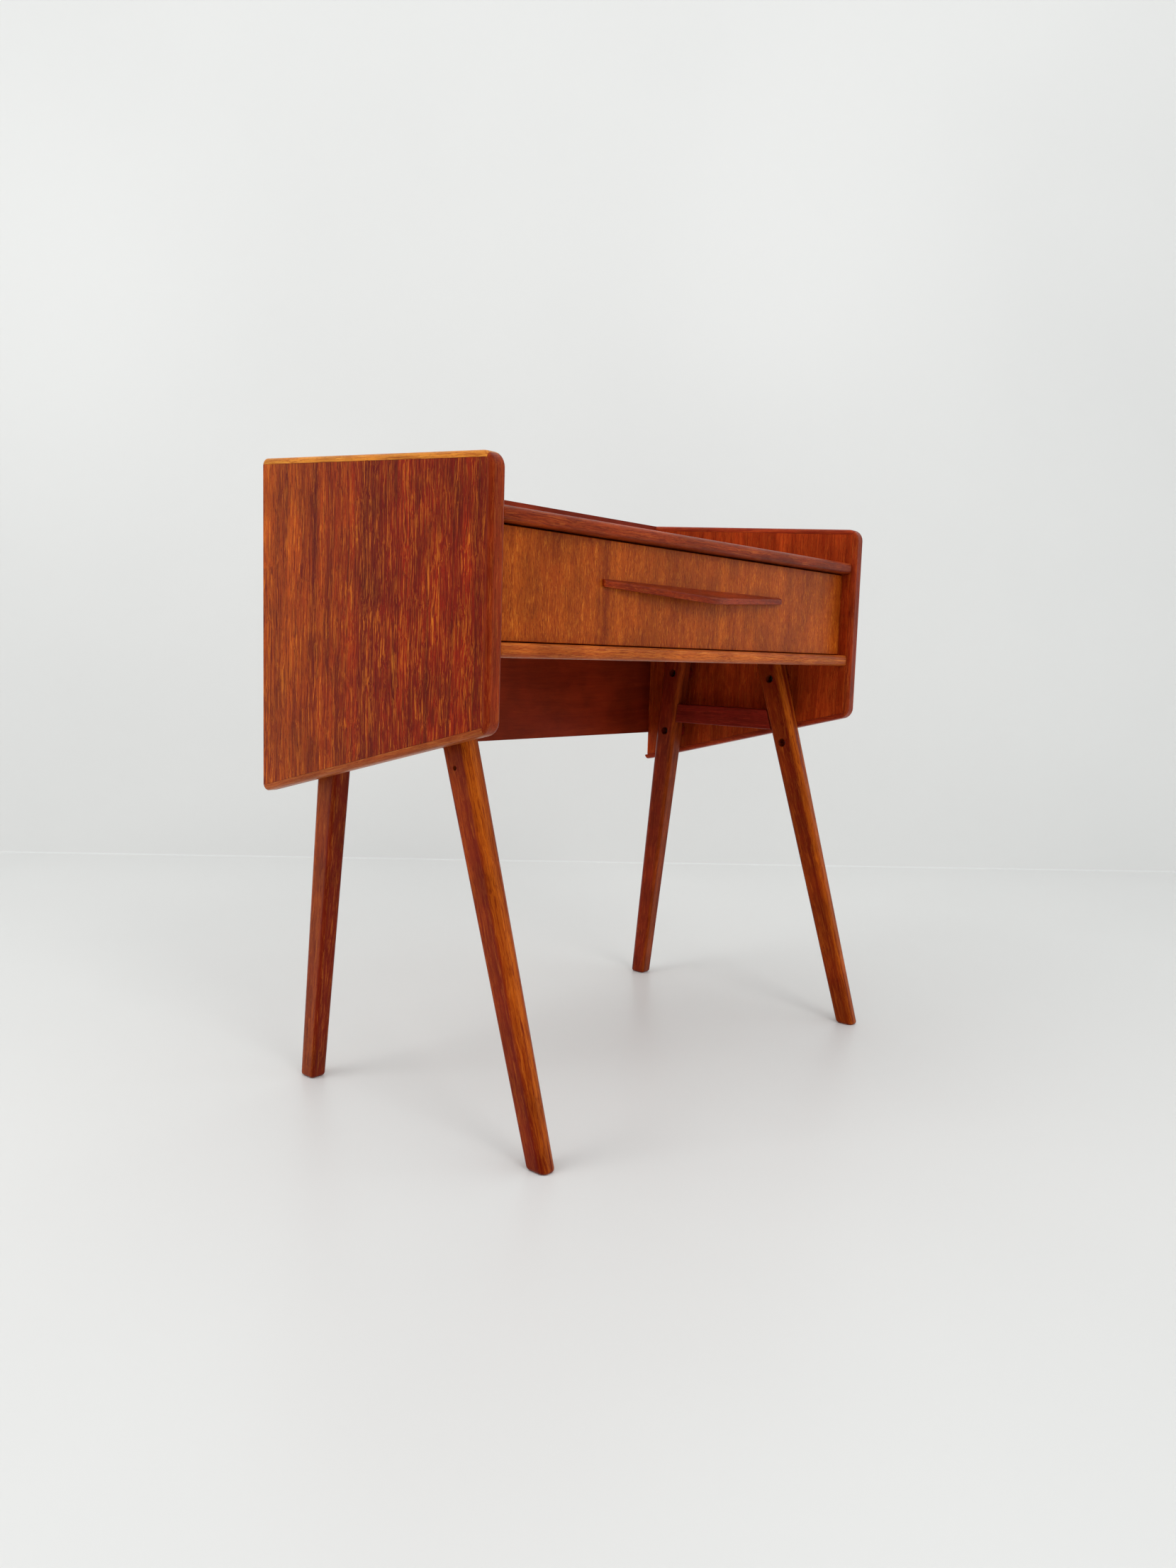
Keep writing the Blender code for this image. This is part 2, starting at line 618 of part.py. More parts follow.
def hinge_leaf(xc, fixed):
    """A flat leaf with its share of the five-part barrel, bored for the pin."""
    step = HINGE_LEN / 5
    x0 = xc - HINGE_LEN / 2
    z0 = TOP_Z + (GAP if fixed else 0.1)
    y_a, y_b = (HINGE_Y + 1.6, HINGE_Y + LEAF_D) if fixed else (HINGE_Y - LEAF_D, HINGE_Y - 1.6)
    leaf = box(x0, x0 + HINGE_LEN, y_a, y_b, z0, z0 + LEAF_T)
    own, other = [], []
    for k in range(5):
        a, b = x0 + k * step, x0 + (k + 1) * step
        (own if (k % 2 == 0) == fixed else other).append((a, b))
    relief = [box(a - 0.3, b + 0.3, HINGE_Y - HINGE_R - 0.6, HINGE_Y + HINGE_R + 0.6,
                  TOP_Z - 5, HINGE_Z + 8) for a, b in other]
    leaf = combine(leaf, relief)
    ends = [knuckle(max(a, x0) + (0.0 if a == x0 else 0.15),
                    b - (0.0 if b == x0 + HINGE_LEN else 0.15)) for a, b in own]
    leaf = combine(leaf, ends, "UNION")
    return combine(leaf, [prism(circle(HINGE_Y, HINGE_Z, HINGE_PIN_R + 0.05, 16),
                                x0 - 5, x0 + HINGE_LEN + 5)])


for side_name, side in SIDES:
    xc = side * HINGE_X
    finish("hinge_leaf_fixed_" + side_name, hinge_leaf(xc, True), BRASS)
    finish("hinge_leaf_lid_" + side_name, hinge_leaf(xc, False), BRASS, "lid")
    pin = turned_x([(xc - HINGE_LEN / 2 - 1.2, 1.6), (xc - HINGE_LEN / 2 - 0.3, 2.2),
                    (xc - HINGE_LEN / 2 - 0.3, HINGE_PIN_R), (xc + HINGE_LEN / 2 + 0.3, HINGE_PIN_R),
                    (xc + HINGE_LEN / 2 + 0.3, 2.2), (xc + HINGE_LEN / 2 + 1.2, 1.6)],
                   HINGE_Y, HINGE_Z, 16)
    finish("hinge_pin_" + side_name, pin, BRASS)
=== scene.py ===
"""Teak dressing table: finishes, fine pieces, floor, light and camera."""
import math

import bmesh
import bpy
from mathutils import Matrix, Vector


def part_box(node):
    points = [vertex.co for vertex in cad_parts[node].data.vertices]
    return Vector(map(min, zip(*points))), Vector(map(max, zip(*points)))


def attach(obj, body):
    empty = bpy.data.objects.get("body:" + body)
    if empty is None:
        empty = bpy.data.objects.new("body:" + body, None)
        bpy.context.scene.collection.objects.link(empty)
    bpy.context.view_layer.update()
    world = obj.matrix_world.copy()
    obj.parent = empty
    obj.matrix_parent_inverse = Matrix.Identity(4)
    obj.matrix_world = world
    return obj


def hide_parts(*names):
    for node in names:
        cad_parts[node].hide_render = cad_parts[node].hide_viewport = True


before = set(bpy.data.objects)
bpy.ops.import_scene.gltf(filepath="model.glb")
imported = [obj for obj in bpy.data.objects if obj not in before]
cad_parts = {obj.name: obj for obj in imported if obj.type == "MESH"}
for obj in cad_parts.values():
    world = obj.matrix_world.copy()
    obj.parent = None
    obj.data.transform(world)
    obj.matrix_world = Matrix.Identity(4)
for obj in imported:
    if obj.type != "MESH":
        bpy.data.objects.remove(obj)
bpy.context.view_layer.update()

MM = 0.001
SHIFT_Y = 28.84              # case datum to the middle of the overall depth, mm
SIDES = (("left", -1), ("right", 1))
OUT_X, PANEL_T = 375.0, 20.0
IN_X = OUT_X - PANEL_T
PANEL_FRONT, PANEL_REAR = -182.0, 178.0
TOP_LINE = (700.0, 721.0)            # long edges, at the front and at the rear
BOTTOM_LINE = (436.0, 345.5)
FRONT_LEG = (-223.7, 0.3025)         # middle at the floor, and its lean
REAR_LEG = (150.0, -0.101)
FRONT_HOLES = ((-74.5, 486.0), (-100.5, 394.5))      # upper and lower, as (y, z)
REAR_HOLES = ((99.5, 488.5), (110.5, 398.0))
SCREW_HOLES = {"front": FRONT_HOLES[0], "rear_upper": REAR_HOLES[0],
               "rear_lower": REAR_HOLES[1]}           # the holes that hold a leg screw
SHANK_HOLE_R = 2.6
GAP = 0.3                            # between a piece and its neighbour

# ---------------------------------------------------------------- node helpers
IN, OUT = "INPUT", "OUTPUT"
KINDS = {"f": "NodeSocketFloat", "v": "NodeSocketVector", "c": "NodeSocketColor"}


def add(tree, kind, inputs=None, **settings):
    """A shader node with its settings, and its inputs set or linked."""
    n = tree.nodes.new("ShaderNode" + kind)
    for key, value in settings.items():
        setattr(n, key, value)
    for key, value in (inputs or {}).items():
        if isinstance(value, bpy.types.NodeSocket):
            tree.links.new(value, n.inputs[key])
        else:
            n.inputs[key].default_value = value
    return n


def calc(tree, operation, a, b=0.0, c=0.0, clamp=False):
    n = add(tree, "Math", {0: a, 1: b, 2: c}, operation=operation, use_clamp=clamp)
    return n.outputs[0]


def vec(tree, operation, a, b):
    n = add(tree, "VectorMath", {0: a, 1: b}, operation=operation)
    return n.outputs[0]


def ramp(tree, value, low, high, to_low=0.0, to_high=1.0, smooth=True):
    """Takes low..high to to_low..to_high, and no further."""
    n = add(tree, "MapRange", {"Value": value, "From Min": low, "From Max": high,
                               "To Min": to_low, "To Max": to_high},
            interpolation_type="SMOOTHSTEP" if smooth else "LINEAR")
    return n.outputs["Result"]


def blend(tree, factor, a, b, mode="MIX"):
    n = add(tree, "Mix", data_type="RGBA", blend_type=mode, clamp_factor=True)
    for key, value in ((0, factor), (6, a), (7, b)):
        if isinstance(value, bpy.types.NodeSocket):
            tree.links.new(value, n.inputs[key])
        else:
            n.inputs[key].default_value = value
    return n.outputs[2]


def noise(tree, where, detail=2.0, rough=0.5, scale=1.0):
    n = add(tree, "TexNoise", {"Vector": where, "Scale": scale, "Detail": detail,
                               "Roughness": rough})
    return n.outputs["Fac"]


def group(name, inputs, outputs):
    """A new shader group with its input and output nodes."""
    tree = bpy.data.node_groups.new(name, "ShaderNodeTree")
    for label, kind, start in inputs:
        s = tree.interface.new_socket(name=label, in_out=IN, socket_type=KINDS[kind])
        if start is not None:
            s.default_value = start
    for label, kind in outputs:
        tree.interface.new_socket(name=label, in_out=OUT, socket_type=KINDS[kind])
    return tree, tree.nodes.new("NodeGroupInput"), tree.nodes.new("NodeGroupOutput")


def place(tree, shared, **values):
    n = tree.nodes.new("ShaderNodeGroup")
    n.node_tree = shared
    for key, value in values.items():
        socket = n.inputs[key.replace("_", " ")]
        if isinstance(value, bpy.types.NodeSocket):
            tree.links.new(value, socket)
        else:
            socket.default_value = value
    return n


# ---------------------------------------------------------------- wood figure
def make_figure():
    """Teak: growth rings cut along the trunk, pale and dark streaks, pores."""
    t, i, o = group("teak figure", (
        ("Place", "v", None), ("Pith Across", "f", 0.0), ("Pith Depth", "f", 90.0),
        ("Lean", "f", 0.05), ("Wander", "f", 14.0), ("Ring", "f", 9.0),
        ("Fleck Width", "f", 1.6), ("Fleck Length", "f", 26.0),
        ("Fleck Amount", "f", 0.6), ("Dark Amount", "f", 0.5), ("Pore Amount", "f", 0.5),
        ("Band Amount", "f", 0.6), ("Contrast", "f", 1.0),
        ("Heart Across", "f", 5000.0), ("Heart Width", "f", 20.0),
        ("Side From", "f", 5000.0), ("Side To", "f", 5001.0),
        ("Side Body", "c", (0.2, 0.02, 0.005, 1)),
        ("Deep", "c", (0.10, 0.012, 0.004, 1)), ("Body", "c", (0.28, 0.05, 0.012, 1)),
        ("Gold", "c", (0.50, 0.16, 0.03, 1))),
        (("Color", "c"), ("Shine", "f"), ("Height", "f")))
    p = i.outputs["Place"]
    # slow wander of the grain across and in depth
    slow = add(t, "TexNoise", {"Vector": vec(t, "MULTIPLY", p, (1 / 120, 1 / 120, 1 / 210)),
                               "Scale": 1.0, "Detail": 2.0, "Roughness": 0.45})
    drift = vec(t, "SUBTRACT", slow.outputs["Color"], (0.5, 0.5, 0.5))
    reach = add(t, "VectorMath", {0: drift, "Scale": i.outputs["Wander"]}, operation="SCALE")
    flat = vec(t, "MULTIPLY", reach.outputs[0], (1.0, 1.0, 0.0))
    quick = add(t, "TexNoise", {"Vector": vec(t, "MULTIPLY", p, (1 / 14, 1 / 14, 1 / 32)),
                                "Scale": 1.0, "Detail": 1.0, "Roughness": 0.5})
    waver = vec(t, "MULTIPLY", vec(t, "SUBTRACT", quick.outputs["Color"], (0.5, 0.5, 0.5)),
                (4.0, 4.0, 0.0))
    q = vec(t, "ADD", vec(t, "ADD", p, flat), waver)
    part = add(t, "SeparateXYZ", {0: q})
    x, y, z = part.outputs
    across = calc(t, "SUBTRACT", x, i.outputs["Pith Across"])
    deep = calc(t, "ADD", calc(t, "ADD", y, i.outputs["Pith Depth"]),
                calc(t, "MULTIPLY", z, i.outputs["Lean"]))
    radius = calc(t, "SQRT", calc(t, "ADD", calc(t, "MULTIPLY", across, across),
                                  calc(t, "MULTIPLY", deep, deep)))
    ringed = add(t, "CombineXYZ", {0: radius, 1: calc(t, "MULTIPLY", y, 0.05), 2: z})
    inv_ring = calc(t, "DIVIDE", 1.0, i.outputs["Ring"])
    turns = add(t, "VectorMath", {0: ringed.outputs[0], "Scale": inv_ring}, operation="SCALE")
    straight = add(t, "VectorMath", {0: q, "Scale": inv_ring}, operation="SCALE").outputs[0]
    bands = noise(t, vec(t, "MULTIPLY", straight, (0.42, 0.42, 0.012)), 2.0, 0.55)
    rings = noise(t, vec(t, "MULTIPLY", turns.outputs[0], (2.1, 2.1, 0.075)), 3.0, 0.6)
    # streaks that follow the grain, some of them filled with a golden deposit
    wide = calc(t, "DIVIDE", 1.0, i.outputs["Fleck Width"])
    long = calc(t, "DIVIDE", 1.0, i.outputs["Fleck Length"])
    stretch = add(t, "CombineXYZ", {0: calc(t, "MULTIPLY", x, wide),
                                    1: calc(t, "MULTIPLY", y, wide),
                                    2: calc(t, "MULTIPLY", z, long)})
    streak = noise(t, stretch.outputs[0], 3.0, 0.62)
    finer = noise(t, vec(t, "ADD", vec(t, "MULTIPLY", stretch.outputs[0], (2.3, 2.3, 1.5)),
                         (7.7, 3.1, 9.2)), 2.0, 0.6)
    gold = calc(t, "MAXIMUM", ramp(t, streak, 0.535, 0.60),
                calc(t, "MULTIPLY", ramp(t, finer, 0.55, 0.61), 0.75))
    other = vec(t, "ADD", vec(t, "MULTIPLY", stretch.outputs[0], (1.35, 1.35, 0.7)),
                (31.7, 12.1, 5.3))
    shade = noise(t, other, 2.0, 0.6)
    dark = ramp(t, shade, 0.52, 0.60)
    fine = noise(t, vec(t, "MULTIPLY", q, (1 / 0.42, 1 / 0.42, 1 / 5.0)), 1.0, 0.5)
    pores = ramp(t, fine, 0.60, 0.74)
    # tone
    tone = calc(t, "ADD", calc(t, "MULTIPLY", bands, 0.62), calc(t, "MULTIPLY", rings, 0.38))
    swing = calc(t, "MULTIPLY", calc(t, "SUBTRACT", tone, 0.5), i.outputs["Contrast"])
    level = calc(t, "ADD", calc(t, "MULTIPLY", swing, 3.2), 0.62, clamp=True)
    # one side of the piece takes another body colour; on the legs this paints light on some faces
    # and shade on others
    side = ramp(t, x, i.outputs["Side From"], i.outputs["Side To"])
    body = blend(t, side, i.outputs["Body"], i.outputs["Side Body"])
    base = blend(t, level, i.outputs["Deep"], body)
    # a dark band of veins about one place across: on the panels a dark heart in the figure, on
    # the front legs painted shade along the rounded arris
    veins = noise(t, vec(t, "MULTIPLY", straight, (0.75, 0.75, 0.014)), 3.0, 0.6)
    away = calc(t, "ABSOLUTE", calc(t, "SUBTRACT", x, i.outputs["Heart Across"]))
    heart = calc(t, "MULTIPLY", ramp(t, away, i.outputs["Heart Width"], 0.0),
                 ramp(t, veins, 0.36, 0.56))
    vein = calc(t, "MULTIPLY", calc(t, "MAXIMUM", ramp(t, veins, 0.54, 0.66), heart),
                i.outputs["Band Amount"])
    base = blend(t, vein, base, i.outputs["Deep"])
    broad = noise(t, vec(t, "MULTIPLY", stretch.outputs[0], (0.38, 0.38, 0.34)), 2.0, 0.5)
    zone = ramp(t, broad, 0.36, 0.62, 0.25, 1.0)
    lit = calc(t, "MULTIPLY", calc(t, "MULTIPLY", gold, i.outputs["Fleck Amount"]),
               calc(t, "MULTIPLY", zone, calc(t, "ADD", calc(t, "MULTIPLY", level, 0.5), 0.5)))
    base = blend(t, lit, base, i.outputs["Gold"])
    base = blend(t, calc(t, "MULTIPLY", dark, i.outputs["Dark Amount"]), base, i.outputs["Deep"])
    base = blend(t, calc(t, "MULTIPLY", pores, i.outputs["Pore Amount"]), base,
                 (0.03, 0.004, 0.002, 1))
    t.links.new(base, o.inputs["Color"])
    shine = calc(t, "ADD", calc(t, "MULTIPLY", streak, 0.10), calc(t, "MULTIPLY", pores, 0.25))
    t.links.new(shine, o.inputs["Shine"])
    height = calc(t, "SUBTRACT", calc(t, "MULTIPLY", streak, 0.35),
                  calc(t, "MULTIPLY", pores, calc(t, "MULTIPLY", i.outputs["Pore Amount"], 1.2)))
    t.links.new(height, o.inputs["Height"])
    return t


def make_wear():
    """Handling marks: soft dull patches, small scuffs and a few pin marks."""
    t, i, o = group("handling marks", (
        ("Place", "v", None), ("Amount", "f", 0.5)),
        (("Dull", "f"), ("Marks", "f"), ("Patch", "f")))
    p = i.outputs["Place"]
    patch = noise(t, vec(t, "MULTIPLY", p, (1 / 55, 1 / 55, 1 / 70)), 3.0, 0.55)
    scuff = noise(t, vec(t, "MULTIPLY", p, (1 / 6, 1 / 6, 1 / 9)), 4.0, 0.7)
    cells = add(t, "TexVoronoi", {"Vector": vec(t, "MULTIPLY", p, (1 / 26, 1 / 26, 1 / 26)),
                                  "Scale": 1.0, "Randomness": 1.0})
    pins = ramp(t, cells.outputs["Distance"], 0.028, 0.016)
    t.links.new(calc(t, "MULTIPLY", ramp(t, scuff, 0.45, 0.75), i.outputs["Amount"]),
                o.inputs["Dull"])
    t.links.new(calc(t, "MULTIPLY", pins, i.outputs["Amount"]), o.inputs["Marks"])
    t.links.new(patch, o.inputs["Patch"])
    return t


FIGURE = make_figure()
WEAR = make_wear()
# how the trunk's length is turned onto a piece
UPRIGHT = (0.0, 0.0, 0.0)
ALONG_X = (0.0, math.radians(90), 0.0)
ALONG_Y = (math.radians(90), 0.0, 0.0)
PANEL_FACE = (0.0, 0.0, math.radians(90))


def wood(name, deep, body, gold, turn=UPRIGHT, start=(0, 0, 0), rough=0.36, bump=0.10,
         wear=0.5, side_body=None, **figure):
    """A wood finish: the grain's direction, its colours and how it is figured."""
    m = bpy.data.materials.new(name)
    m.use_nodes = True
    t = m.node_tree
    shader = t.nodes["Principled BSDF"]
    where = add(t, "TexCoord").outputs["Object"]
    laid = add(t, "Mapping", {"Vector": where, "Rotation": turn, "Scale": (1000,) * 3,
                              "Location": start}, vector_type="POINT")
    laid = laid.outputs[0]
    grain = place(t, FIGURE, Place=laid, Deep=(*deep, 1), Body=(*body, 1), Gold=(*gold, 1),
                  Side_Body=(*(side_body or body), 1), **figure)
    marks = place(t, WEAR, Place=laid, Amount=wear)
    tint = ramp(t, marks.outputs["Patch"], 0.30, 0.70, 0.82, 1.18)
    shaded = add(t, "HueSaturation", {"Value": tint, "Color": grain.outputs["Color"]})
    colour = blend(t, marks.outputs["Marks"], shaded.outputs["Color"], (0.03, 0.008, 0.004, 1))
    t.links.new(colour, shader.inputs["Base Color"])
    gloss = calc(t, "ADD", calc(t, "MULTIPLY", marks.outputs["Dull"], 0.14),
                 calc(t, "ADD", grain.outputs["Shine"], rough - 0.05))
    t.links.new(gloss, shader.inputs["Roughness"])
    relief = add(t, "Bump", {"Strength": bump, "Distance": 0.0004,
                             "Height": grain.outputs["Height"]})
    t.links.new(relief.outputs[0], shader.inputs["Normal"])
    shader.inputs["Specular IOR Level"].default_value = 0.22
    shader.inputs["Specular Tint"].default_value = (1.0, 0.22, 0.05, 1)
    return m


def metal(name, colour, rough, brushed=0.12):
    """Turned or pressed metal with fine scratches and dull spots."""
    m = bpy.data.materials.new(name)
    m.use_nodes = True
    t = m.node_tree
    shader = t.nodes["Principled BSDF"]
    where = add(t, "TexCoord").outputs["Object"]
    spot = noise(t, vec(t, "MULTIPLY", where, (420, 420, 420)), 4.0, 0.6)
    line = noise(t, vec(t, "MULTIPLY", where, (9000, 600, 9000)), 2.0, 0.5)
    stain = blend(t, ramp(t, spot, 0.42, 0.72), (*colour, 1),
                  (colour[0] * 0.45, colour[1] * 0.40, colour[2] * 0.34, 1))
    t.links.new(stain, shader.inputs["Base Color"])
    sum_rough = calc(t, "ADD", calc(t, "MULTIPLY", line, brushed),
                     calc(t, "ADD", calc(t, "MULTIPLY", spot, 0.2), rough - 0.16))
    t.links.new(sum_rough, shader.inputs["Roughness"])
    relief = add(t, "Bump", {"Strength": 0.15, "Distance": 0.0002, "Height": line})
    t.links.new(relief.outputs[0], shader.inputs["Normal"])
    shader.inputs["Metallic"].default_value = 1.0
    return m


def silvered():
    """Mirror glass with a faint patchy haze."""
    m = bpy.data.materials.new("silvered glass")
    m.use_nodes = True
    t = m.node_tree
    shader = t.nodes["Principled BSDF"]
    where = add(t, "TexCoord").outputs["Object"]
    haze = noise(t, vec(t, "MULTIPLY", where, (60, 60, 60)), 3.0, 0.6)
    t.links.new(blend(t, haze, (0.80, 0.83, 0.84, 1), (0.88, 0.90, 0.90, 1)),
                shader.inputs["Base Color"])
    t.links.new(ramp(t, haze, 0.45, 0.85, 0.015, 0.06), shader.inputs["Roughness"])
    shader.inputs["Metallic"].default_value = 1.0
    return m


# ------------------------------------------------------------------- finishes
PANEL = dict(Pith_Across=80.0, Pith_Depth=60.0, Lean=0.12, Wander=14.0, Ring=9.0,
             Fleck_Width=1.4, Fleck_Length=44.0, Fleck_Amount=0.85, Dark_Amount=0.80,
             Pore_Amount=0.70, Band_Amount=0.95, Contrast=1.1)
INNER = dict(PANEL, Pith_Across=-60.0, Pith_Depth=90.0, Fleck_Amount=0.40, Dark_Amount=0.50,
             Band_Amount=0.45, Contrast=0.8)
PLAIN = dict(Pith_Across=180.0, Pith_Depth=120.0, Lean=0.02, Wander=6.0, Ring=14.0,
             Fleck_Width=1.6, Fleck_Length=9.0, Fleck_Amount=0.60, Dark_Amount=0.50,
             Pore_Amount=0.8, Band_Amount=0.28, Contrast=0.7)
BOARD = dict(PLAIN, Fleck_Length=30.0, Fleck_Width=1.4, Lean=0.05, Pith_Across=60.0,
             Band_Amount=0.5, Contrast=1.0, Wander=12.0)
PALE = dict(BOARD, Fleck_Length=16.0, Fleck_Width=1.2, Fleck_Amount=0.35, Dark_Amount=0.20,
            Pore_Amount=0.12, Band_Amount=0.20, Contrast=0.5)
QUIET = dict(BOARD, Fleck_Length=60.0, Fleck_Width=2.2, Fleck_Amount=0.15,
             Dark_Amount=0.25, Pore_Amount=0.3, Contrast=0.7)
BAR = dict(Pith_Across=50.0, Pith_Depth=70.0, Lean=0.02, Wander=3.0, Ring=6.0,
           Fleck_Width=1.1, Fleck_Length=34.0, Fleck_Amount=0.50, Dark_Amount=0.65,
           Pore_Amount=0.5, Band_Amount=0.50, Contrast=1.0)


def along(line):
    """A turn that lays the grain along a sloping long edge of the panels."""
    slope = math.atan2(line[1] - line[0], PANEL_REAR - PANEL_FRONT)
    return (math.radians(90) - slope, 0.0, 0.0)


def leg_lie(foot_y, lean):
    """The turn and start that put a leg's own axis at the middle of the grain."""
    angle = math.atan(lean)
    return dict(turn=(angle, 0.0, math.radians(90)),
                start=((foot_y + SHIFT_Y) * math.cos(angle), 0, 0))


veneer_panel = wood("teak veneer, upright, dark heart", (0.095, 0.003, 0.002),
                    (0.400, 0.060, 0.003), (0.66, 0.170, 0.012), turn=PANEL_FACE,
                    start=(0, 375, -560), side_body=(0.255, 0.011, 0.002),
                    Side_From=-190.0, Side_To=10.0, Heart_Across=-20.0, Heart_Width=34.0,
                    **PANEL)
veneer_inner = wood("teak veneer, inner faces", (0.150, 0.007, 0.002),
                    (0.440, 0.050, 0.007), (0.68, 0.150, 0.020), turn=PANEL_FACE,
                    start=(0, -355, -560), **INNER)
veneer_front = wood("teak veneer, drawer front", (0.170, 0.014, 0.002),
                    (0.440, 0.084, 0.005), (0.68, 0.200, 0.018), start=(0, 130, -580), **PLAIN)
veneer_board = wood("teak veneer, boards", (0.190, 0.018, 0.004), (0.400, 0.070, 0.010),
                    (0.60, 0.170, 0.028), turn=ALONG_X, **BOARD)
veneer_back = wood("teak veneer, back board", (0.130, 0.008, 0.003), (0.260, 0.028, 0.007),
                   (0.40, 0.070, 0.014), turn=ALONG_X, **QUIET)
# Front legs: the golden Side Body on the front face is painted light, and the dark band along the
# rounded arris is painted shade.
front_legs_painted_light_and_shade = wood("solid teak, front legs, painted light and shade", (0.120, 0.004, 0.002),
                       (0.280, 0.038, 0.004), (0.52, 0.130, 0.014), rough=0.30,
                       side_body=(0.480, 0.100, 0.006), Side_From=8.0, Side_To=12.5,
                       Heart_Across=4.5, Heart_Width=7.5, **leg_lie(*FRONT_LEG),
                       **dict(BAR, Band_Amount=0.9))
# Right rear leg: the dark red body on its sides is painted shade under the case, and its lighter
# front face is painted light.
rear_leg_right_painted_shade = wood("solid teak, right rear leg, painted shade", (0.090, 0.004, 0.003),
                    (0.230, 0.020, 0.005), (0.44, 0.080, 0.016), rough=0.32,
                    side_body=(0.300, 0.050, 0.006), Side_From=8.0, Side_To=13.0,
                    **leg_lie(*REAR_LEG), **BAR)
# Left rear leg: the dark Side Body on its front face is painted shade.
rear_leg_left_painted_shade = wood("solid teak, left rear leg, painted shade", (0.110, 0.006, 0.003),
                      (0.350, 0.060, 0.006), (0.58, 0.160, 0.020), rough=0.32,
                      side_body=(0.150, 0.009, 0.004), Side_From=8.0, Side_To=13.0,
                      **leg_lie(*REAR_LEG), **BAR)
solid_rail = wood("solid teak, stretchers", (0.085, 0.004, 0.003), (0.200, 0.012, 0.007),
                  (0.32, 0.040, 0.014), turn=ALONG_Y, **BAR)
solid_gold = wood("solid teak, golden lippings", (0.280, 0.050, 0.006),
                  (0.640, 0.220, 0.022), (0.80, 0.380, 0.060), turn=along(TOP_LINE), **BAR)
solid_low = wood("solid teak, lower lippings", (0.200, 0.028, 0.006),
                 (0.450, 0.105, 0.020), (0.66, 0.250, 0.050), turn=along(BOTTOM_LINE), **BAR)
# The right panel's lippings: a darker red copy of the teak, painted shade.
lipping_painted_shade = wood("solid teak, lippings in painted shade", (0.150, 0.008, 0.004),
                 (0.340, 0.034, 0.008), (0.50, 0.100, 0.018), turn=ALONG_Y, **BAR)
solid_dark = wood("solid teak, dark lippings", (0.120, 0.006, 0.003),
                  (0.360, 0.044, 0.008), (0.52, 0.130, 0.020), **BAR)
edge_dark = wood("solid teak, dark front edge", (0.090, 0.005, 0.002),
                 (0.290, 0.036, 0.006), (0.54, 0.130, 0.020), turn=ALONG_X, **BAR)
edge_gold = wood("solid teak, golden front edge", (0.200, 0.022, 0.004),
                 (0.480, 0.105, 0.012), (0.70, 0.240, 0.040), turn=ALONG_X, **BAR)
pull_dark = wood("solid teak, pull", (0.110, 0.006, 0.002), (0.300, 0.030, 0.004),
                 (0.50, 0.110, 0.016), turn=ALONG_X, **BAR)
beech = wood("beech", (0.44, 0.25, 0.12), (0.60, 0.38, 0.20), (0.68, 0.46, 0.27),
             turn=ALONG_Y, rough=0.5, **PALE)
beech_x = wood("beech, across", (0.44, 0.25, 0.12), (0.60, 0.38, 0.20), (0.68, 0.46, 0.27),
               turn=ALONG_X, rough=0.5, **PALE)
plywood = wood("plywood", (0.42, 0.24, 0.11), (0.56, 0.35, 0.17), (0.64, 0.43, 0.24),
               turn=ALONG_X, rough=0.55, **PALE)
# Each leg takes its own lit and shaded copy of one teak: painted light and painted shade on its
# faces.
leg_finish = {("front", "left"): front_legs_painted_light_and_shade, ("front", "right"): front_legs_painted_light_and_shade,
              ("rear", "left"): rear_leg_left_painted_shade, ("rear", "right"): rear_leg_right_painted_shade}
brass = metal("brass", (0.70, 0.50, 0.22), 0.30)
steel = metal("steel", (0.34, 0.33, 0.32), 0.42)
dull_steel = metal("tarnished steel", (0.10, 0.09, 0.085), 0.50)
glass = silvered()

FINISH = {
    "side_panel": veneer_panel, "panel_top_lip": solid_gold, "panel_bottom_lip": solid_low,
    "panel_front_lip": solid_dark, "back_board": veneer_back, "back_screw": steel,
    "tabletop_front_edge": edge_dark, "tabletop": veneer_board,
    "bottom_board_front_edge": edge_gold, "bottom_board": veneer_board,
    "drawer_runner": beech, "mirror_well_frame": beech_x, "mirror_well_base": plywood,
    "leg_screw": dull_steel, "leg_": front_legs_painted_light_and_shade, "stretcher": solid_rail,
    "spacer": solid_rail,
    "drawer_front": veneer_front, "drawer_handle": pull_dark, "drawer_side": beech,
    "drawer_back": beech_x, "drawer_bottom": plywood, "handle_screw": steel,
    "lid": veneer_board, "mirror_clip": brass, "mirror": glass, "hinge": brass,
}
for node_name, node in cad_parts.items():
    key = next(k for k in FINISH if node_name.startswith(k))
    node.data.materials.clear()
    node.data.materials.append(FINISH[key])

# ---------------------------------------------------------------- mesh helpers
def prism(points, a0, a1, axis="X"):
    """A closed outline of (u, v) points, run from a0 to a1 along an axis."""
    put = {"X": lambda u, v, a: (a, u, v), "Y": lambda u, v, a: (u, a, v),
           "Z": lambda u, v, a: (u, v, a)}[axis]
    return loft([[put(u, v, a0) for u, v in points], [put(u, v, a1) for u, v in points]])


def block(x0, x1, y0, y1, z0, z1):
    return prism([(y0, z0), (y1, z0), (y1, z1), (y0, z1)], x0, x1)


def loft(rings):
    """Equal rings of points, skinned, with both ends closed."""
    bm = bmesh.new()
    rows = [[bm.verts.new(p) for p in ring] for ring in rings]
    count = len(rings[0])
    for a, b in zip(rows, rows[1:]):
        for i in range(count):
            j = (i + 1) % count
            bm.faces.new((a[i], a[j], b[j], b[i]))
    bm.faces.new(rows[0][::-1])
    bm.faces.new(rows[-1])
    bmesh.ops.recalc_face_normals(bm, faces=bm.faces)
    return bm


def circle(u, v, r, n):
    return [(u + r * math.cos(2 * math.pi * i / n),
             v + r * math.sin(2 * math.pi * i / n)) for i in range(n)]


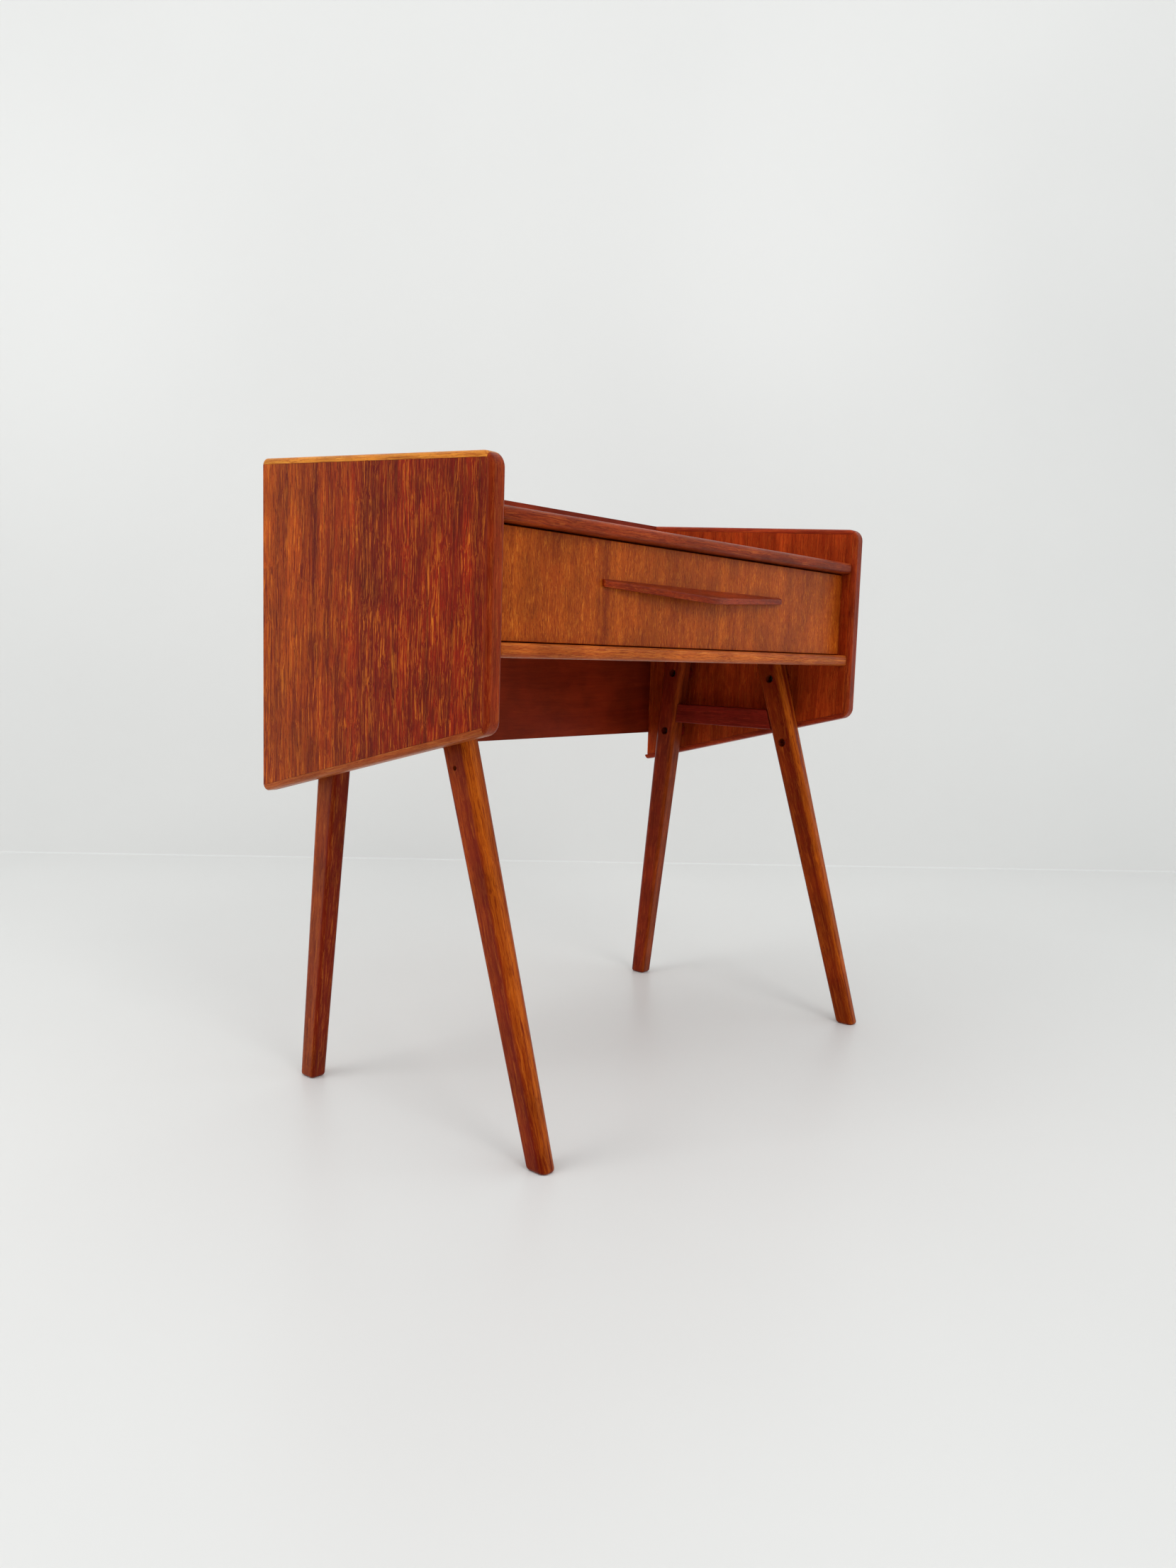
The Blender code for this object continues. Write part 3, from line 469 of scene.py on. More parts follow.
def rounded(points, radii, seg):
    """A closed outline with its corners rounded, one radius for each."""
    out = []
    for i, (p, r) in enumerate(zip(points, radii)):
        p = Vector(p)
        if r <= 0:
            out.append(tuple(p))
            continue
        a = (Vector(points[i - 1]) - p).normalized()
        b = (Vector(points[(i + 1) % len(points)]) - p).normalized()
        half = a.angle(b) / 2
        centre = p + (a + b).normalized() * (r / math.sin(half))
        start = p + a * (r / math.tan(half)) - centre
        end = p + b * (r / math.tan(half)) - centre
        t0 = math.atan2(start.y, start.x)
        dt = (math.atan2(end.y, end.x) - t0 + math.pi) % (2 * math.pi) - math.pi
        for k in range(seg + 1):
            t = t0 + dt * k / seg
            out.append((centre.x + r * math.cos(t), centre.y + r * math.sin(t)))
    return out


def cut(bm, cutters):
    """The shape with each cutter taken out of it."""
    def hold(shape):
        me = bpy.data.meshes.new("work")
        shape.to_mesh(me)
        shape.free()
        o = bpy.data.objects.new("work", me)
        bpy.context.scene.collection.objects.link(o)
        return o

    held = [hold(bm)] + [hold(c) for c in cutters]
    for c in held[1:]:
        m = held[0].modifiers.new("cut", "BOOLEAN")
        m.operation, m.solver, m.object = "DIFFERENCE", "EXACT", c
    deps = bpy.context.evaluated_depsgraph_get()
    deps.update()
    done = bpy.data.meshes.new_from_object(held[0].evaluated_get(deps))
    out = bmesh.new()
    out.from_mesh(done)
    bpy.data.meshes.remove(done)
    for o in held:
        spent = o.data
        bpy.data.objects.remove(o, do_unlink=True)
        bpy.data.meshes.remove(spent)
    return out


def soften(bm, edges, width, seg):
    bmesh.ops.bevel(bm, geom=edges, offset=width, segments=seg, profile=0.5,
                    affect="EDGES", clamp_overlap=True)
    return bm


def hand(bm, side):
    """A right-hand shape, mirrored when side is -1."""
    if side < 0:
        for v in bm.verts:
            v.co.x = -v.co.x
        bmesh.ops.reverse_faces(bm, faces=bm.faces)
    return bm


def fit(o, finish, body, nodes):
    o.data.materials.clear()
    o.data.materials.append(finish)
    if nodes:
        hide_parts(*nodes)
    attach(o, body)
    return o


def piece(name, bm, finish, body, nodes, crease=32.0):
    """A shape in the case's millimetres becomes a finished piece in metres."""
    bmesh.ops.remove_doubles(bm, verts=bm.verts, dist=1e-3)
    bmesh.ops.recalc_face_normals(bm, faces=bm.faces)
    for v in bm.verts:
        v.co = (v.co + Vector((0, SHIFT_Y, 0))) * MM
    me = bpy.data.meshes.new(name)
    bm.to_mesh(me)
    bm.free()
    me.shade_smooth()
    me.set_sharp_from_angle(angle=math.radians(crease))
    o = bpy.data.objects.new(name, me)
    bpy.context.scene.collection.objects.link(o)
    m = o.modifiers.new("flat faces stay flat", "WEIGHTED_NORMAL")
    m.keep_sharp = True
    return fit(o, finish, body, nodes)


# ----------------------------------------------------------------- side panels
CORNER_R, REAR_R = 16.0, 3.5
LIP, LIP_R, JOINT = 7.0, 5.0, 0.11   # JOINT is half the hairline between pieces
REBATE_X, REBATE_Y = 9.0, 5.0
PANEL_HOLE_DEPTH = 13.0


def edge_height(y, line):
    return line[0] + (line[1] - line[0]) * (y - PANEL_FRONT) / (PANEL_REAR - PANEL_FRONT)


def slant(line):
    return math.cos(math.atan2(line[1] - line[0], PANEL_REAR - PANEL_FRONT))


def panel_outline(inset):
    """The panel's corners, drawn in by inset at the front, top and bottom."""
    low, high = inset / slant(BOTTOM_LINE), inset / slant(TOP_LINE)
    y0, y1 = PANEL_FRONT + inset, PANEL_REAR
    return [(y1, edge_height(y1, BOTTOM_LINE) + low),
            (y0, edge_height(y0, BOTTOM_LINE) + low),
            (y0, edge_height(y0, TOP_LINE) - high),
            (y1, edge_height(y1, TOP_LINE) - high)]


def back_rebate():
    """The step in the rear inner corner that takes the back board."""
    return block(IN_X - 5, IN_X + REBATE_X, PANEL_REAR - REBATE_Y, PANEL_REAR + 5, 300, 760)


def panel_blank(seg=9):
    """The whole panel with its arrises rounded, before it is split up."""
    stations = []
    for k in range(seg + 1):
        t = math.pi / 2 * k / seg
        stations.append((IN_X + LIP_R * (1 - math.cos(t)), LIP_R * (1 - math.sin(t))))
    stations += [(IN_X + OUT_X - x, inset) for x, inset in reversed(stations)]
    rings = []
    for x, inset in stations:
        r = CORNER_R - inset
        outline = rounded(panel_outline(inset), [REAR_R, r, r, REAR_R], 18)
        rings.append([(x, y, z) for y, z in outline])
    return loft(rings)


def beyond(line, shift, far):
    """Everything between a long edge, moved by shift, and far."""
    y0, y1, shift = PANEL_FRONT - 60, PANEL_REAR + 60, shift / slant(line)
    return prism([(y0, edge_height(y0, line) + shift), (y0, far), (y1, far),
                  (y1, edge_height(y1, line) + shift)], IN_X - 5, OUT_X + 5)


def across(y0, y1):
    return block(IN_X - 5, OUT_X + 5, y0, y1, 280, 790)


def lipping(which):
    """The front lipping runs through and the two others butt against it."""
    inner = PANEL_FRONT + LIP
    if which == "front":
        return cut(panel_blank(), [across(inner - JOINT, PANEL_REAR + 30)])
    line, shift, far = {"top": (TOP_LINE, JOINT - LIP, 250),
                        "bottom": (BOTTOM_LINE, LIP - JOINT, 820)}[which]
    cutters = [across(PANEL_FRONT - 30, inner + JOINT), beyond(line, shift, far)]
    if which == "top":
        cutters.append(back_rebate())
    return cut(panel_blank(), cutters)


def panel_core():
    """The veneered board inside the lippings, bored for the leg screws."""
    cutters = [back_rebate()]
    cutters += [prism(circle(y, z, SHANK_HOLE_R, 20), IN_X - 5, IN_X + PANEL_HOLE_DEPTH)
                for y, z in SCREW_HOLES.values()]
    return cut(prism(panel_outline(LIP + JOINT), IN_X, OUT_X), cutters)


# The right panel's top and bottom lippings take the darker copy, painted shade.
LIPPINGS = {"left": (("front", solid_dark, "teak_dark"), ("top", solid_gold, "teak_solid"),
                     ("bottom", solid_low, "teak_solid")),
            "right": (("front", solid_dark, "teak_dark"), ("top", lipping_painted_shade, "teak_solid"),
                      ("bottom", lipping_painted_shade, "teak_solid"))}
for side_name, side in SIDES:
    core = piece(f"veneered_panel_{side_name}", hand(panel_core(), side), veneer_panel,
                 "table", [f"side_panel_{side_name}"])
    core.data.materials.append(veneer_inner)
    for face in core.data.polygons:
        face.material_index = 1 if face.normal.x * side < -0.5 else 0
    for which, finish, slot in LIPPINGS[side_name]:
        piece(f"{which}_lipping_{side_name}", hand(lipping(which), side), finish, "table",
              [f"panel_{which}_lip_{side_name}"])

# ----------------------------------------------------------------- front edges
EDGE_FRONT, EDGE_DEPTH, EDGE_R = -177.5, 22.0, 6.0
FRONT_EDGES = (                      # name, underside, height, finish, slot
    ("tabletop_front_edge", 638.2, 14.8, edge_dark, "teak_dark"),
    ("bottom_board_front_edge", 508.4, 15.0, edge_gold, "teak_solid"))
for name, z0, height, finish, slot in FRONT_EDGES:
    bar = block(-IN_X + GAP, IN_X - GAP, EDGE_FRONT, EDGE_FRONT + EDGE_DEPTH - GAP / 2,
                z0, z0 + height)
    face = [e for e in bar.edges if all(v.co.y < EDGE_FRONT + 1 for v in e.verts)]
    piece("rounded_" + name, soften(bar, face, EDGE_R, 10), finish, "table", [name])

# ------------------------------------------------------------------------ legs
LEG_X, LEG_TOP = 326.0, 508.1
FOOT_WIDTH, HEAD_WIDTH, CASE_UNDERSIDE = 26.0, 38.5, 508.4
FOOT_HALF, LEG_HALF, TAPER_TOP = 10.5, 12.0, 380.0   # half thickness, tapered below
LEG_OUTER_R, LEG_INNER_R, FOOT_R = 8.5, 4.5, 4.0
BORE_R, BORE_DEPTH = 6.0, 13.0
INNER_FACE, OUTER_FACE = LEG_X - LEG_HALF, LEG_X + LEG_HALF
RAIL_LOW, RAIL_HIGH, RAIL_INSET, RAIL_T = 412.7, 441.2, 0.2, 18.0


def leg_half_width(z):
    """Half the leg's width, which grows evenly from the foot to the case."""
    return (FOOT_WIDTH + (HEAD_WIDTH - FOOT_WIDTH) * z / CASE_UNDERSIDE) / 2


def leg_ring(z, front, inset=0.0):
    """The leg's outline at a height; inset draws it in at the rounded foot."""
    w = leg_half_width(z) - inset
    t = FOOT_HALF + (LEG_HALF - FOOT_HALF) * min(z, TAPER_TOP) / TAPER_TOP - inset
    foot_y, lean = FRONT_LEG if front else REAR_LEG
    middle = foot_y + lean * z
    away = -1 if front else 1
    # the inner corners shrink more slowly, so that they stay round at the foot
    outer, inner = LEG_OUTER_R - inset, LEG_INNER_R - inset * 0.6
    outline = rounded([(LEG_X - t, middle - away * w), (LEG_X + t, middle - away * w),
                       (LEG_X + t, middle + away * w), (LEG_X - t, middle + away * w)],
                      [inner, inner, outer, outer], 9)
    return [(x, y, z) for x, y in outline]


def leg(front, holes):
    """A leg with a rounded foot, its screw holes bored from the inner face."""
    steps = 6
    rings = []
    for k in range(steps, -1, -1):
        a = math.pi / 2 * k / steps
        inset = FOOT_R * 0.85 if k == steps else FOOT_R * (1 - math.cos(a))
        rings.append(leg_ring(FOOT_R * (1 - math.sin(a)), front, inset))
    rings += [leg_ring(z, front) for z in range(20, 505, 22)] + [leg_ring(LEG_TOP, front)]
    cutters = []
    for y, z in holes:
        cutters.append(prism(circle(y, z, BORE_R, 40), INNER_FACE - 10,
                             INNER_FACE + BORE_DEPTH))
        cutters.append(prism(circle(y, z, SHANK_HOLE_R, 24), INNER_FACE - 5,
                             OUTER_FACE + 10))
    return cut(loft(rings), cutters)


def facing_edge(z, front):
    """The leg's edge that faces the other leg."""
    foot_y, lean = FRONT_LEG if front else REAR_LEG
    half = leg_half_width(z)
    return foot_y + lean * z + (half if front else -half)


def stretcher():
    """A rail between the legs' facing edges, its long arrises eased."""
    bar = prism([(facing_edge(RAIL_LOW, True) + GAP, RAIL_LOW),
                 (facing_edge(RAIL_LOW, False) - GAP, RAIL_LOW),
                 (facing_edge(RAIL_HIGH, False) - GAP, RAIL_HIGH),
                 (facing_edge(RAIL_HIGH, True) + GAP, RAIL_HIGH)],
                INNER_FACE + RAIL_INSET, INNER_FACE + RAIL_INSET + RAIL_T)
    long_edges = [e for e in bar.edges if abs(e.verts[0].co.y - e.verts[1].co.y) > 30]
    return soften(bar, long_edges, 1.6, 4)


for side_name, side in SIDES:
    for front, holes in ((True, FRONT_HOLES), (False, REAR_HOLES)):
        end = "front" if front else "rear"
        piece(f"shaped_leg_{end}_{side_name}", hand(leg(front, holes), side),
              leg_finish[end, side_name], "table", [f"leg_{end}_{side_name}"])
    piece(f"eased_stretcher_{side_name}", hand(stretcher(), side), solid_rail, "table",
          [f"stretcher_{side_name}"])

# ---------------------------------------------------------------------- drawer
FRONT_X, FRONT_Y, FRONT_T = 353.5, -162.0, 18.0
FRONT_Z0, FRONT_Z1 = 524.6, 636.4
HANDLE_HALF, HANDLE_TIP, HANDLE_APEX, HANDLE_T = 185.0, 3.5, 24.0, 7.6
HANDLE_Z, HANDLE_FALL = 595.0, 0.446     # its top at the front, and the drop per mm
HANDLE_BLUNT = 0.6                       # taken off the point of the arrow
HANDLE_SCREW_X, HANDLE_SCREW_Z = 70.0, 590.0
SCREW_HOLE_R, SINK_R, SINK_DEPTH = 1.9, 4.2, 2.5
PILOT_R, PILOT_DEPTH = 1.8, 6.3


def drawer_front():
    """The front with its arrises eased, bored and sunk for the pull's screws."""
    board = block(-FRONT_X, FRONT_X, FRONT_Y, FRONT_Y + FRONT_T, FRONT_Z0, FRONT_Z1)
    soften(board, list(board.edges), 0.9, 4)
    back = FRONT_Y + FRONT_T
    cutters = []
    for x in (-HANDLE_SCREW_X, HANDLE_SCREW_X):
        cutters.append(prism(circle(x, HANDLE_SCREW_Z, SCREW_HOLE_R, 18), FRONT_Y - 5,
                             FRONT_Y + 40, "Y"))
        cutters.append(prism(circle(x, HANDLE_SCREW_Z, SINK_R, 28), back - SINK_DEPTH,
                             back + 10, "Y"))
    return cut(board, cutters)


def pull():
    """Arrow-shaped pull: widest in the middle, its top falling forwards."""
    half, tip, steps = HANDLE_HALF, HANDLE_TIP, 14
    plan = [(-half, 0.0), (-half, tip)]
    for k in range(1, 2 * steps):
        x = -half + half * k / steps
        ease = HANDLE_BLUNT if k == steps else 0.0
        plan.append((x, tip + (HANDLE_APEX - tip) * (1 - abs(x) / half) - ease))
    plan += [(half, tip), (half, 0.0)]
    top = [(x, FRONT_Y - GAP - p, HANDLE_Z - HANDLE_FALL * p) for x, p in plan]
    bm = loft([top, [(x, y, z - HANDLE_T) for x, y, z in top]])
    rim = [e for e in bm.edges if e.calc_face_angle(0.0) > math.radians(40)
           and not all(v.co.y > FRONT_Y - 0.8 for v in e.verts)]
    soften(bm, rim, 1.5, 5)
    return cut(bm, [prism(circle(s * HANDLE_SCREW_X, HANDLE_SCREW_Z, PILOT_R, 18),
                          FRONT_Y - PILOT_DEPTH, FRONT_Y + 10, "Y") for s in (-1, 1)])


piece("veneered_drawer_front", drawer_front(), veneer_front, "drawer",
      ["drawer_front"])
piece("arrow_pull", pull(), pull_dark, "drawer", ["drawer_handle"])


# ---------------------------------------------- screws and collars that repeat
def repeat_tree(name, inputs):
    tree = bpy.data.node_groups.new(name, "GeometryNodeTree")
    face = tree.interface
    face.new_socket(name="Points", in_out=IN, socket_type="NodeSocketGeometry")
    for label, start in inputs:
        kind = "NodeSocketInt" if isinstance(start, int) else "NodeSocketFloat"
        face.new_socket(name=label, in_out=IN, socket_type=kind).default_value = start
    face.new_socket(name="Finish", in_out=IN, socket_type="NodeSocketMaterial")
    face.new_socket(name="Pieces", in_out=OUT, socket_type="NodeSocketGeometry")
    return tree, tree.nodes.new("NodeGroupInput"), tree.nodes.new("NodeGroupOutput")


def geo(tree, kind, inputs=None, **settings):
    n = tree.nodes.new(kind)
    for key, value in settings.items():
        setattr(n, key, value)
    for key, value in (inputs or {}).items():
        if isinstance(value, bpy.types.NodeSocket):
            tree.links.new(value, n.inputs[key])
        else:
            n.inputs[key].default_value = value
    return n


def spread(tree, i, o, shape, seed=None):
    """One shape on every point, aimed along the point's own direction."""
    aim = geo(tree, "GeometryNodeInputNamedAttribute", {"Name": "aim"},
              data_type="FLOAT_VECTOR").outputs[0]
    turn = geo(tree, "FunctionNodeAlignRotationToVector", {"Vector": aim}, axis="Z").outputs[0]
    if seed is not None:
        spin = geo(tree, "FunctionNodeRandomValue", {2: 0.0, 3: 3.14, "Seed": seed},
                   data_type="FLOAT").outputs[1]
        about = geo(tree, "FunctionNodeAxisAngleToRotation", {"Axis": (0, 0, 1), "Angle": spin})
        turn = geo(tree, "FunctionNodeRotateRotation", {0: turn, 1: about.outputs[0]},
                   rotation_space="LOCAL").outputs[0]
    laid = geo(tree, "GeometryNodeInstanceOnPoints",
               {"Points": i.outputs["Points"], "Instance": shape, "Rotation": turn})
    real = geo(tree, "GeometryNodeRealizeInstances", {0: laid.outputs[0]})
    done = geo(tree, "GeometryNodeSetMaterial",
               {"Geometry": real.outputs[0], "Material": i.outputs["Finish"]})
    tree.links.new(done.outputs[0], o.inputs[0])
    return tree


def math_node(tree, operation, a, b):
    return geo(tree, "ShaderNodeMath", {0: a, 1: b}, operation=operation).outputs[0]


def shifted(tree, shape, z):
    move = geo(tree, "ShaderNodeCombineXYZ", {"Z": z}).outputs[0]
    return geo(tree, "GeometryNodeTransform", {"Geometry": shape, "Translation": move}).outputs[0]


def slotted_screws():
    """A screw with a domed, slotted head; its head's rim lies on the point."""
    t, i, o = repeat_tree("slotted screws", (
        ("Head Radius", 4.4 * MM), ("Head Height", 2.6 * MM), ("Shank Radius", 2.3 * MM),
        ("Shank Length", 30.0 * MM), ("Slot Width", 1.0 * MM), ("Slot Depth", 1.1 * MM),
        ("Seed", 7)))
    v = i.outputs
    shank = geo(t, "GeometryNodeMeshCylinder", {
        "Vertices": 20, "Radius": v["Shank Radius"],
        "Depth": math_node(t, "ADD", v["Shank Length"], v["Head Height"])})
    down = math_node(t, "MULTIPLY", math_node(t, "SUBTRACT", v["Head Height"],
                                              v["Shank Length"]), 0.25)
    shank = shifted(t, shank.outputs[0], math_node(t, "SUBTRACT", down, math_node(
        t, "MULTIPLY", v["Shank Length"], 0.25)))
    head = None
    for share, wide, narrow, low in ((0.55, 1.0, 1.0, 0.0), (0.25, 1.0, 0.9, 0.55),
                                     (0.20, 0.9, 0.66, 0.80)):
        cone = geo(t, "GeometryNodeMeshCone", {
            "Vertices": 32, "Radius Top": math_node(t, "MULTIPLY", v["Head Radius"], narrow),
            "Radius Bottom": math_node(t, "MULTIPLY", v["Head Radius"], wide),
            "Depth": math_node(t, "MULTIPLY", v["Head Height"], share)})
        part = shifted(t, cone.outputs[0], math_node(t, "MULTIPLY", v["Head Height"], low))
        if head is None:
            head = part
        else:
            head = geo(t, "GeometryNodeMeshBoolean", {"Mesh 2": head}, operation="UNION",
                       solver="EXACT")
            t.links.new(part, head.inputs["Mesh 2"])
            head = head.outputs[0]
    whole = geo(t, "GeometryNodeMeshBoolean", {"Mesh 2": head}, operation="UNION",
                solver="EXACT")
    t.links.new(shank, whole.inputs["Mesh 2"])
    size = geo(t, "ShaderNodeCombineXYZ", {
        "X": math_node(t, "MULTIPLY", v["Head Radius"], 3.0), "Y": v["Slot Width"],
        "Z": math_node(t, "MULTIPLY", v["Slot Depth"], 2.0)})
    slot = shifted(t, geo(t, "GeometryNodeMeshCube", {"Size": size.outputs[0]}).outputs[0],
                   v["Head Height"])
    slit = geo(t, "GeometryNodeMeshBoolean", {"Mesh 1": whole.outputs[0], "Mesh 2": slot},
               operation="DIFFERENCE", solver="EXACT")
    return spread(t, i, o, slit.outputs[0], v["Seed"])


def turned_collars():
    """A short turned tube with eased ends, from the point along its aim."""
    t, i, o = repeat_tree("turned collars", (
        ("Outer Radius", 11.0 * MM), ("Bore Radius", 2.6 * MM), ("Length", 16.4 * MM),
        ("Ease", 1.2 * MM)))
    v = i.outputs
    wall = math_node(t, "SUBTRACT", v["Outer Radius"], v["Bore Radius"])
    middle = math_node(t, "MULTIPLY", math_node(t, "ADD", v["Outer Radius"],
                                                v["Bore Radius"]), 0.5)
    ring = geo(t, "GeometryNodeCurvePrimitiveCircle", {"Resolution": 48, "Radius": middle},
               mode="RADIUS")
    frame_curve = geo(t, "GeometryNodeCurvePrimitiveQuadrilateral",
                      {"Width": wall, "Height": v["Length"]}, mode="RECTANGLE")
    eased = geo(t, "GeometryNodeFilletCurve", {"Curve": frame_curve.outputs[0],
                                               "Radius": v["Ease"], "Count": 4}, mode="POLY")
    tube = geo(t, "GeometryNodeCurveToMesh", {"Curve": ring.outputs[0],
                                              "Profile Curve": eased.outputs[0]})
    tube = shifted(t, tube.outputs[0], math_node(t, "MULTIPLY", v["Length"], 0.5))
    return spread(t, i, o, tube)


SCREWS = slotted_screws()
COLLARS = turned_collars()


def repeated(name, tree, points, finish, body, slot, nodes, **sizes):
    """The tree's shape at each (place, aim) in the case's millimetres."""
    me = bpy.data.meshes.new(name)
    me.from_pydata([(x * MM, (y + SHIFT_Y) * MM, z * MM) for (x, y, z), _ in points], [], [])
    aims = me.attributes.new("aim", "FLOAT_VECTOR", "POINT")
    for k, (_, aim) in enumerate(points):
        aims.data[k].vector = aim
    o = bpy.data.objects.new(name, me)
    bpy.context.scene.collection.objects.link(o)
    m = o.modifiers.new("repeat", "NODES")
    m.node_group = tree
    keys = {s.name: s.identifier for s in tree.interface.items_tree if s.in_out == IN}
    m[keys["Finish"]] = finish
    for label, value in sizes.items():
        m[keys[label.replace("_", " ")]] = value if isinstance(value, int) else value * MM
    deps = bpy.context.evaluated_depsgraph_get()
    deps.update()
    plain = bpy.data.meshes.new_from_object(o.evaluated_get(deps))
    o.modifiers.clear()
    o.data = plain
    plain.name = name
    plain.shade_smooth()
    plain.set_sharp_from_angle(angle=math.radians(32))
    return fit(o, finish, body, nodes)


SEAT_X, COLLAR_X = INNER_FACE + BORE_DEPTH - GAP, OUTER_FACE + GAP
leg_points, collar_points, leg_nodes, collar_nodes = [], [], [], []
for side_name, side in SIDES:
    for label, (y, z) in SCREW_HOLES.items():
        leg_points.append(((side * SEAT_X, y, z), (-side, 0, 0)))
        collar_points.append(((side * COLLAR_X, y, z), (side, 0, 0)))
        leg_nodes.append(f"leg_screw_{label}_{side_name}")
        collar_nodes.append(f"spacer_{label}_{side_name}")
repeated("leg_screws", SCREWS, leg_points, dull_steel, "table", "steel", leg_nodes,
         Head_Radius=5.2, Head_Height=2.9, Shank_Radius=2.3, Shank_Length=38.0, Seed=7)
repeated("leg_collars", COLLARS, collar_points, solid_rail, "table", "teak_solid",
         collar_nodes, Length=16.4)
BACK_SCREW_X, BACK_SCREW_Y, BACK_SCREW_Z = 359.4, 177.0, (430.0, 680.0)
back_points = [((s * BACK_SCREW_X, BACK_SCREW_Y, z), (0, 1, 0))
               for s in (-1, 1) for z in BACK_SCREW_Z]
repeated("back_board_screws", SCREWS, back_points, steel, "table", "steel",
         [f"back_screw_{k}" for k in (1, 2, 3, 4)], Head_Radius=3.0, Head_Height=0.75,
         Shank_Radius=1.5, Shank_Length=3.8, Slot_Width=0.7, Slot_Depth=0.4, Seed=3)
pull_points = [((s * HANDLE_SCREW_X, FRONT_Y + FRONT_T - 2.2, HANDLE_SCREW_Z), (0, 1, 0))
               for s in (-1, 1)]
repeated("pull_screws", SCREWS, pull_points, steel, "drawer", "steel",
         ["handle_screw_left", "handle_screw_right"], Head_Radius=3.8, Head_Height=1.6,
         Shank_Radius=1.4, Shank_Length=20.0, Slot_Width=0.8, Slot_Depth=0.7, Seed=5)

LEAF_T, LEAF_EDGE = 1.4, 7.5         # leaf thickness, and its edge to the screws
for label, body in (("fixed", "table"), ("lid", "lid")):
    leaf_points = []
    for side_name, _ in SIDES:
        low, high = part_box(f"hinge_leaf_{label}_{side_name}")
        y = high.y / MM - LEAF_EDGE if label == "fixed" else low.y / MM + LEAF_EDGE
        for share in (0.2, 0.8):
            x = (low.x + (high.x - low.x) * share) / MM
            leaf_points.append(((x, y - SHIFT_Y, low.z / MM + LEAF_T), (0, 0, 1)))
    repeated(f"hinge_screws_{label}", SCREWS, leaf_points, brass, body, "brass", [],
             Head_Radius=2.6, Head_Height=0.7, Shank_Radius=1.2, Shank_Length=0.8,
             Slot_Width=0.6, Slot_Depth=0.4, Seed=11)

# ---------------------------------------------------------- floor and backdrop
WALL_Y, WALL_HEIGHT, HALF_WIDTH = 1.33, 6.0, 9.0
TURN_R, TURN_STEPS = 0.003, 12       # the curve from the floor into the wall
WALL_TURN = math.radians(-45.8)      # the wall's turn about the upright axis


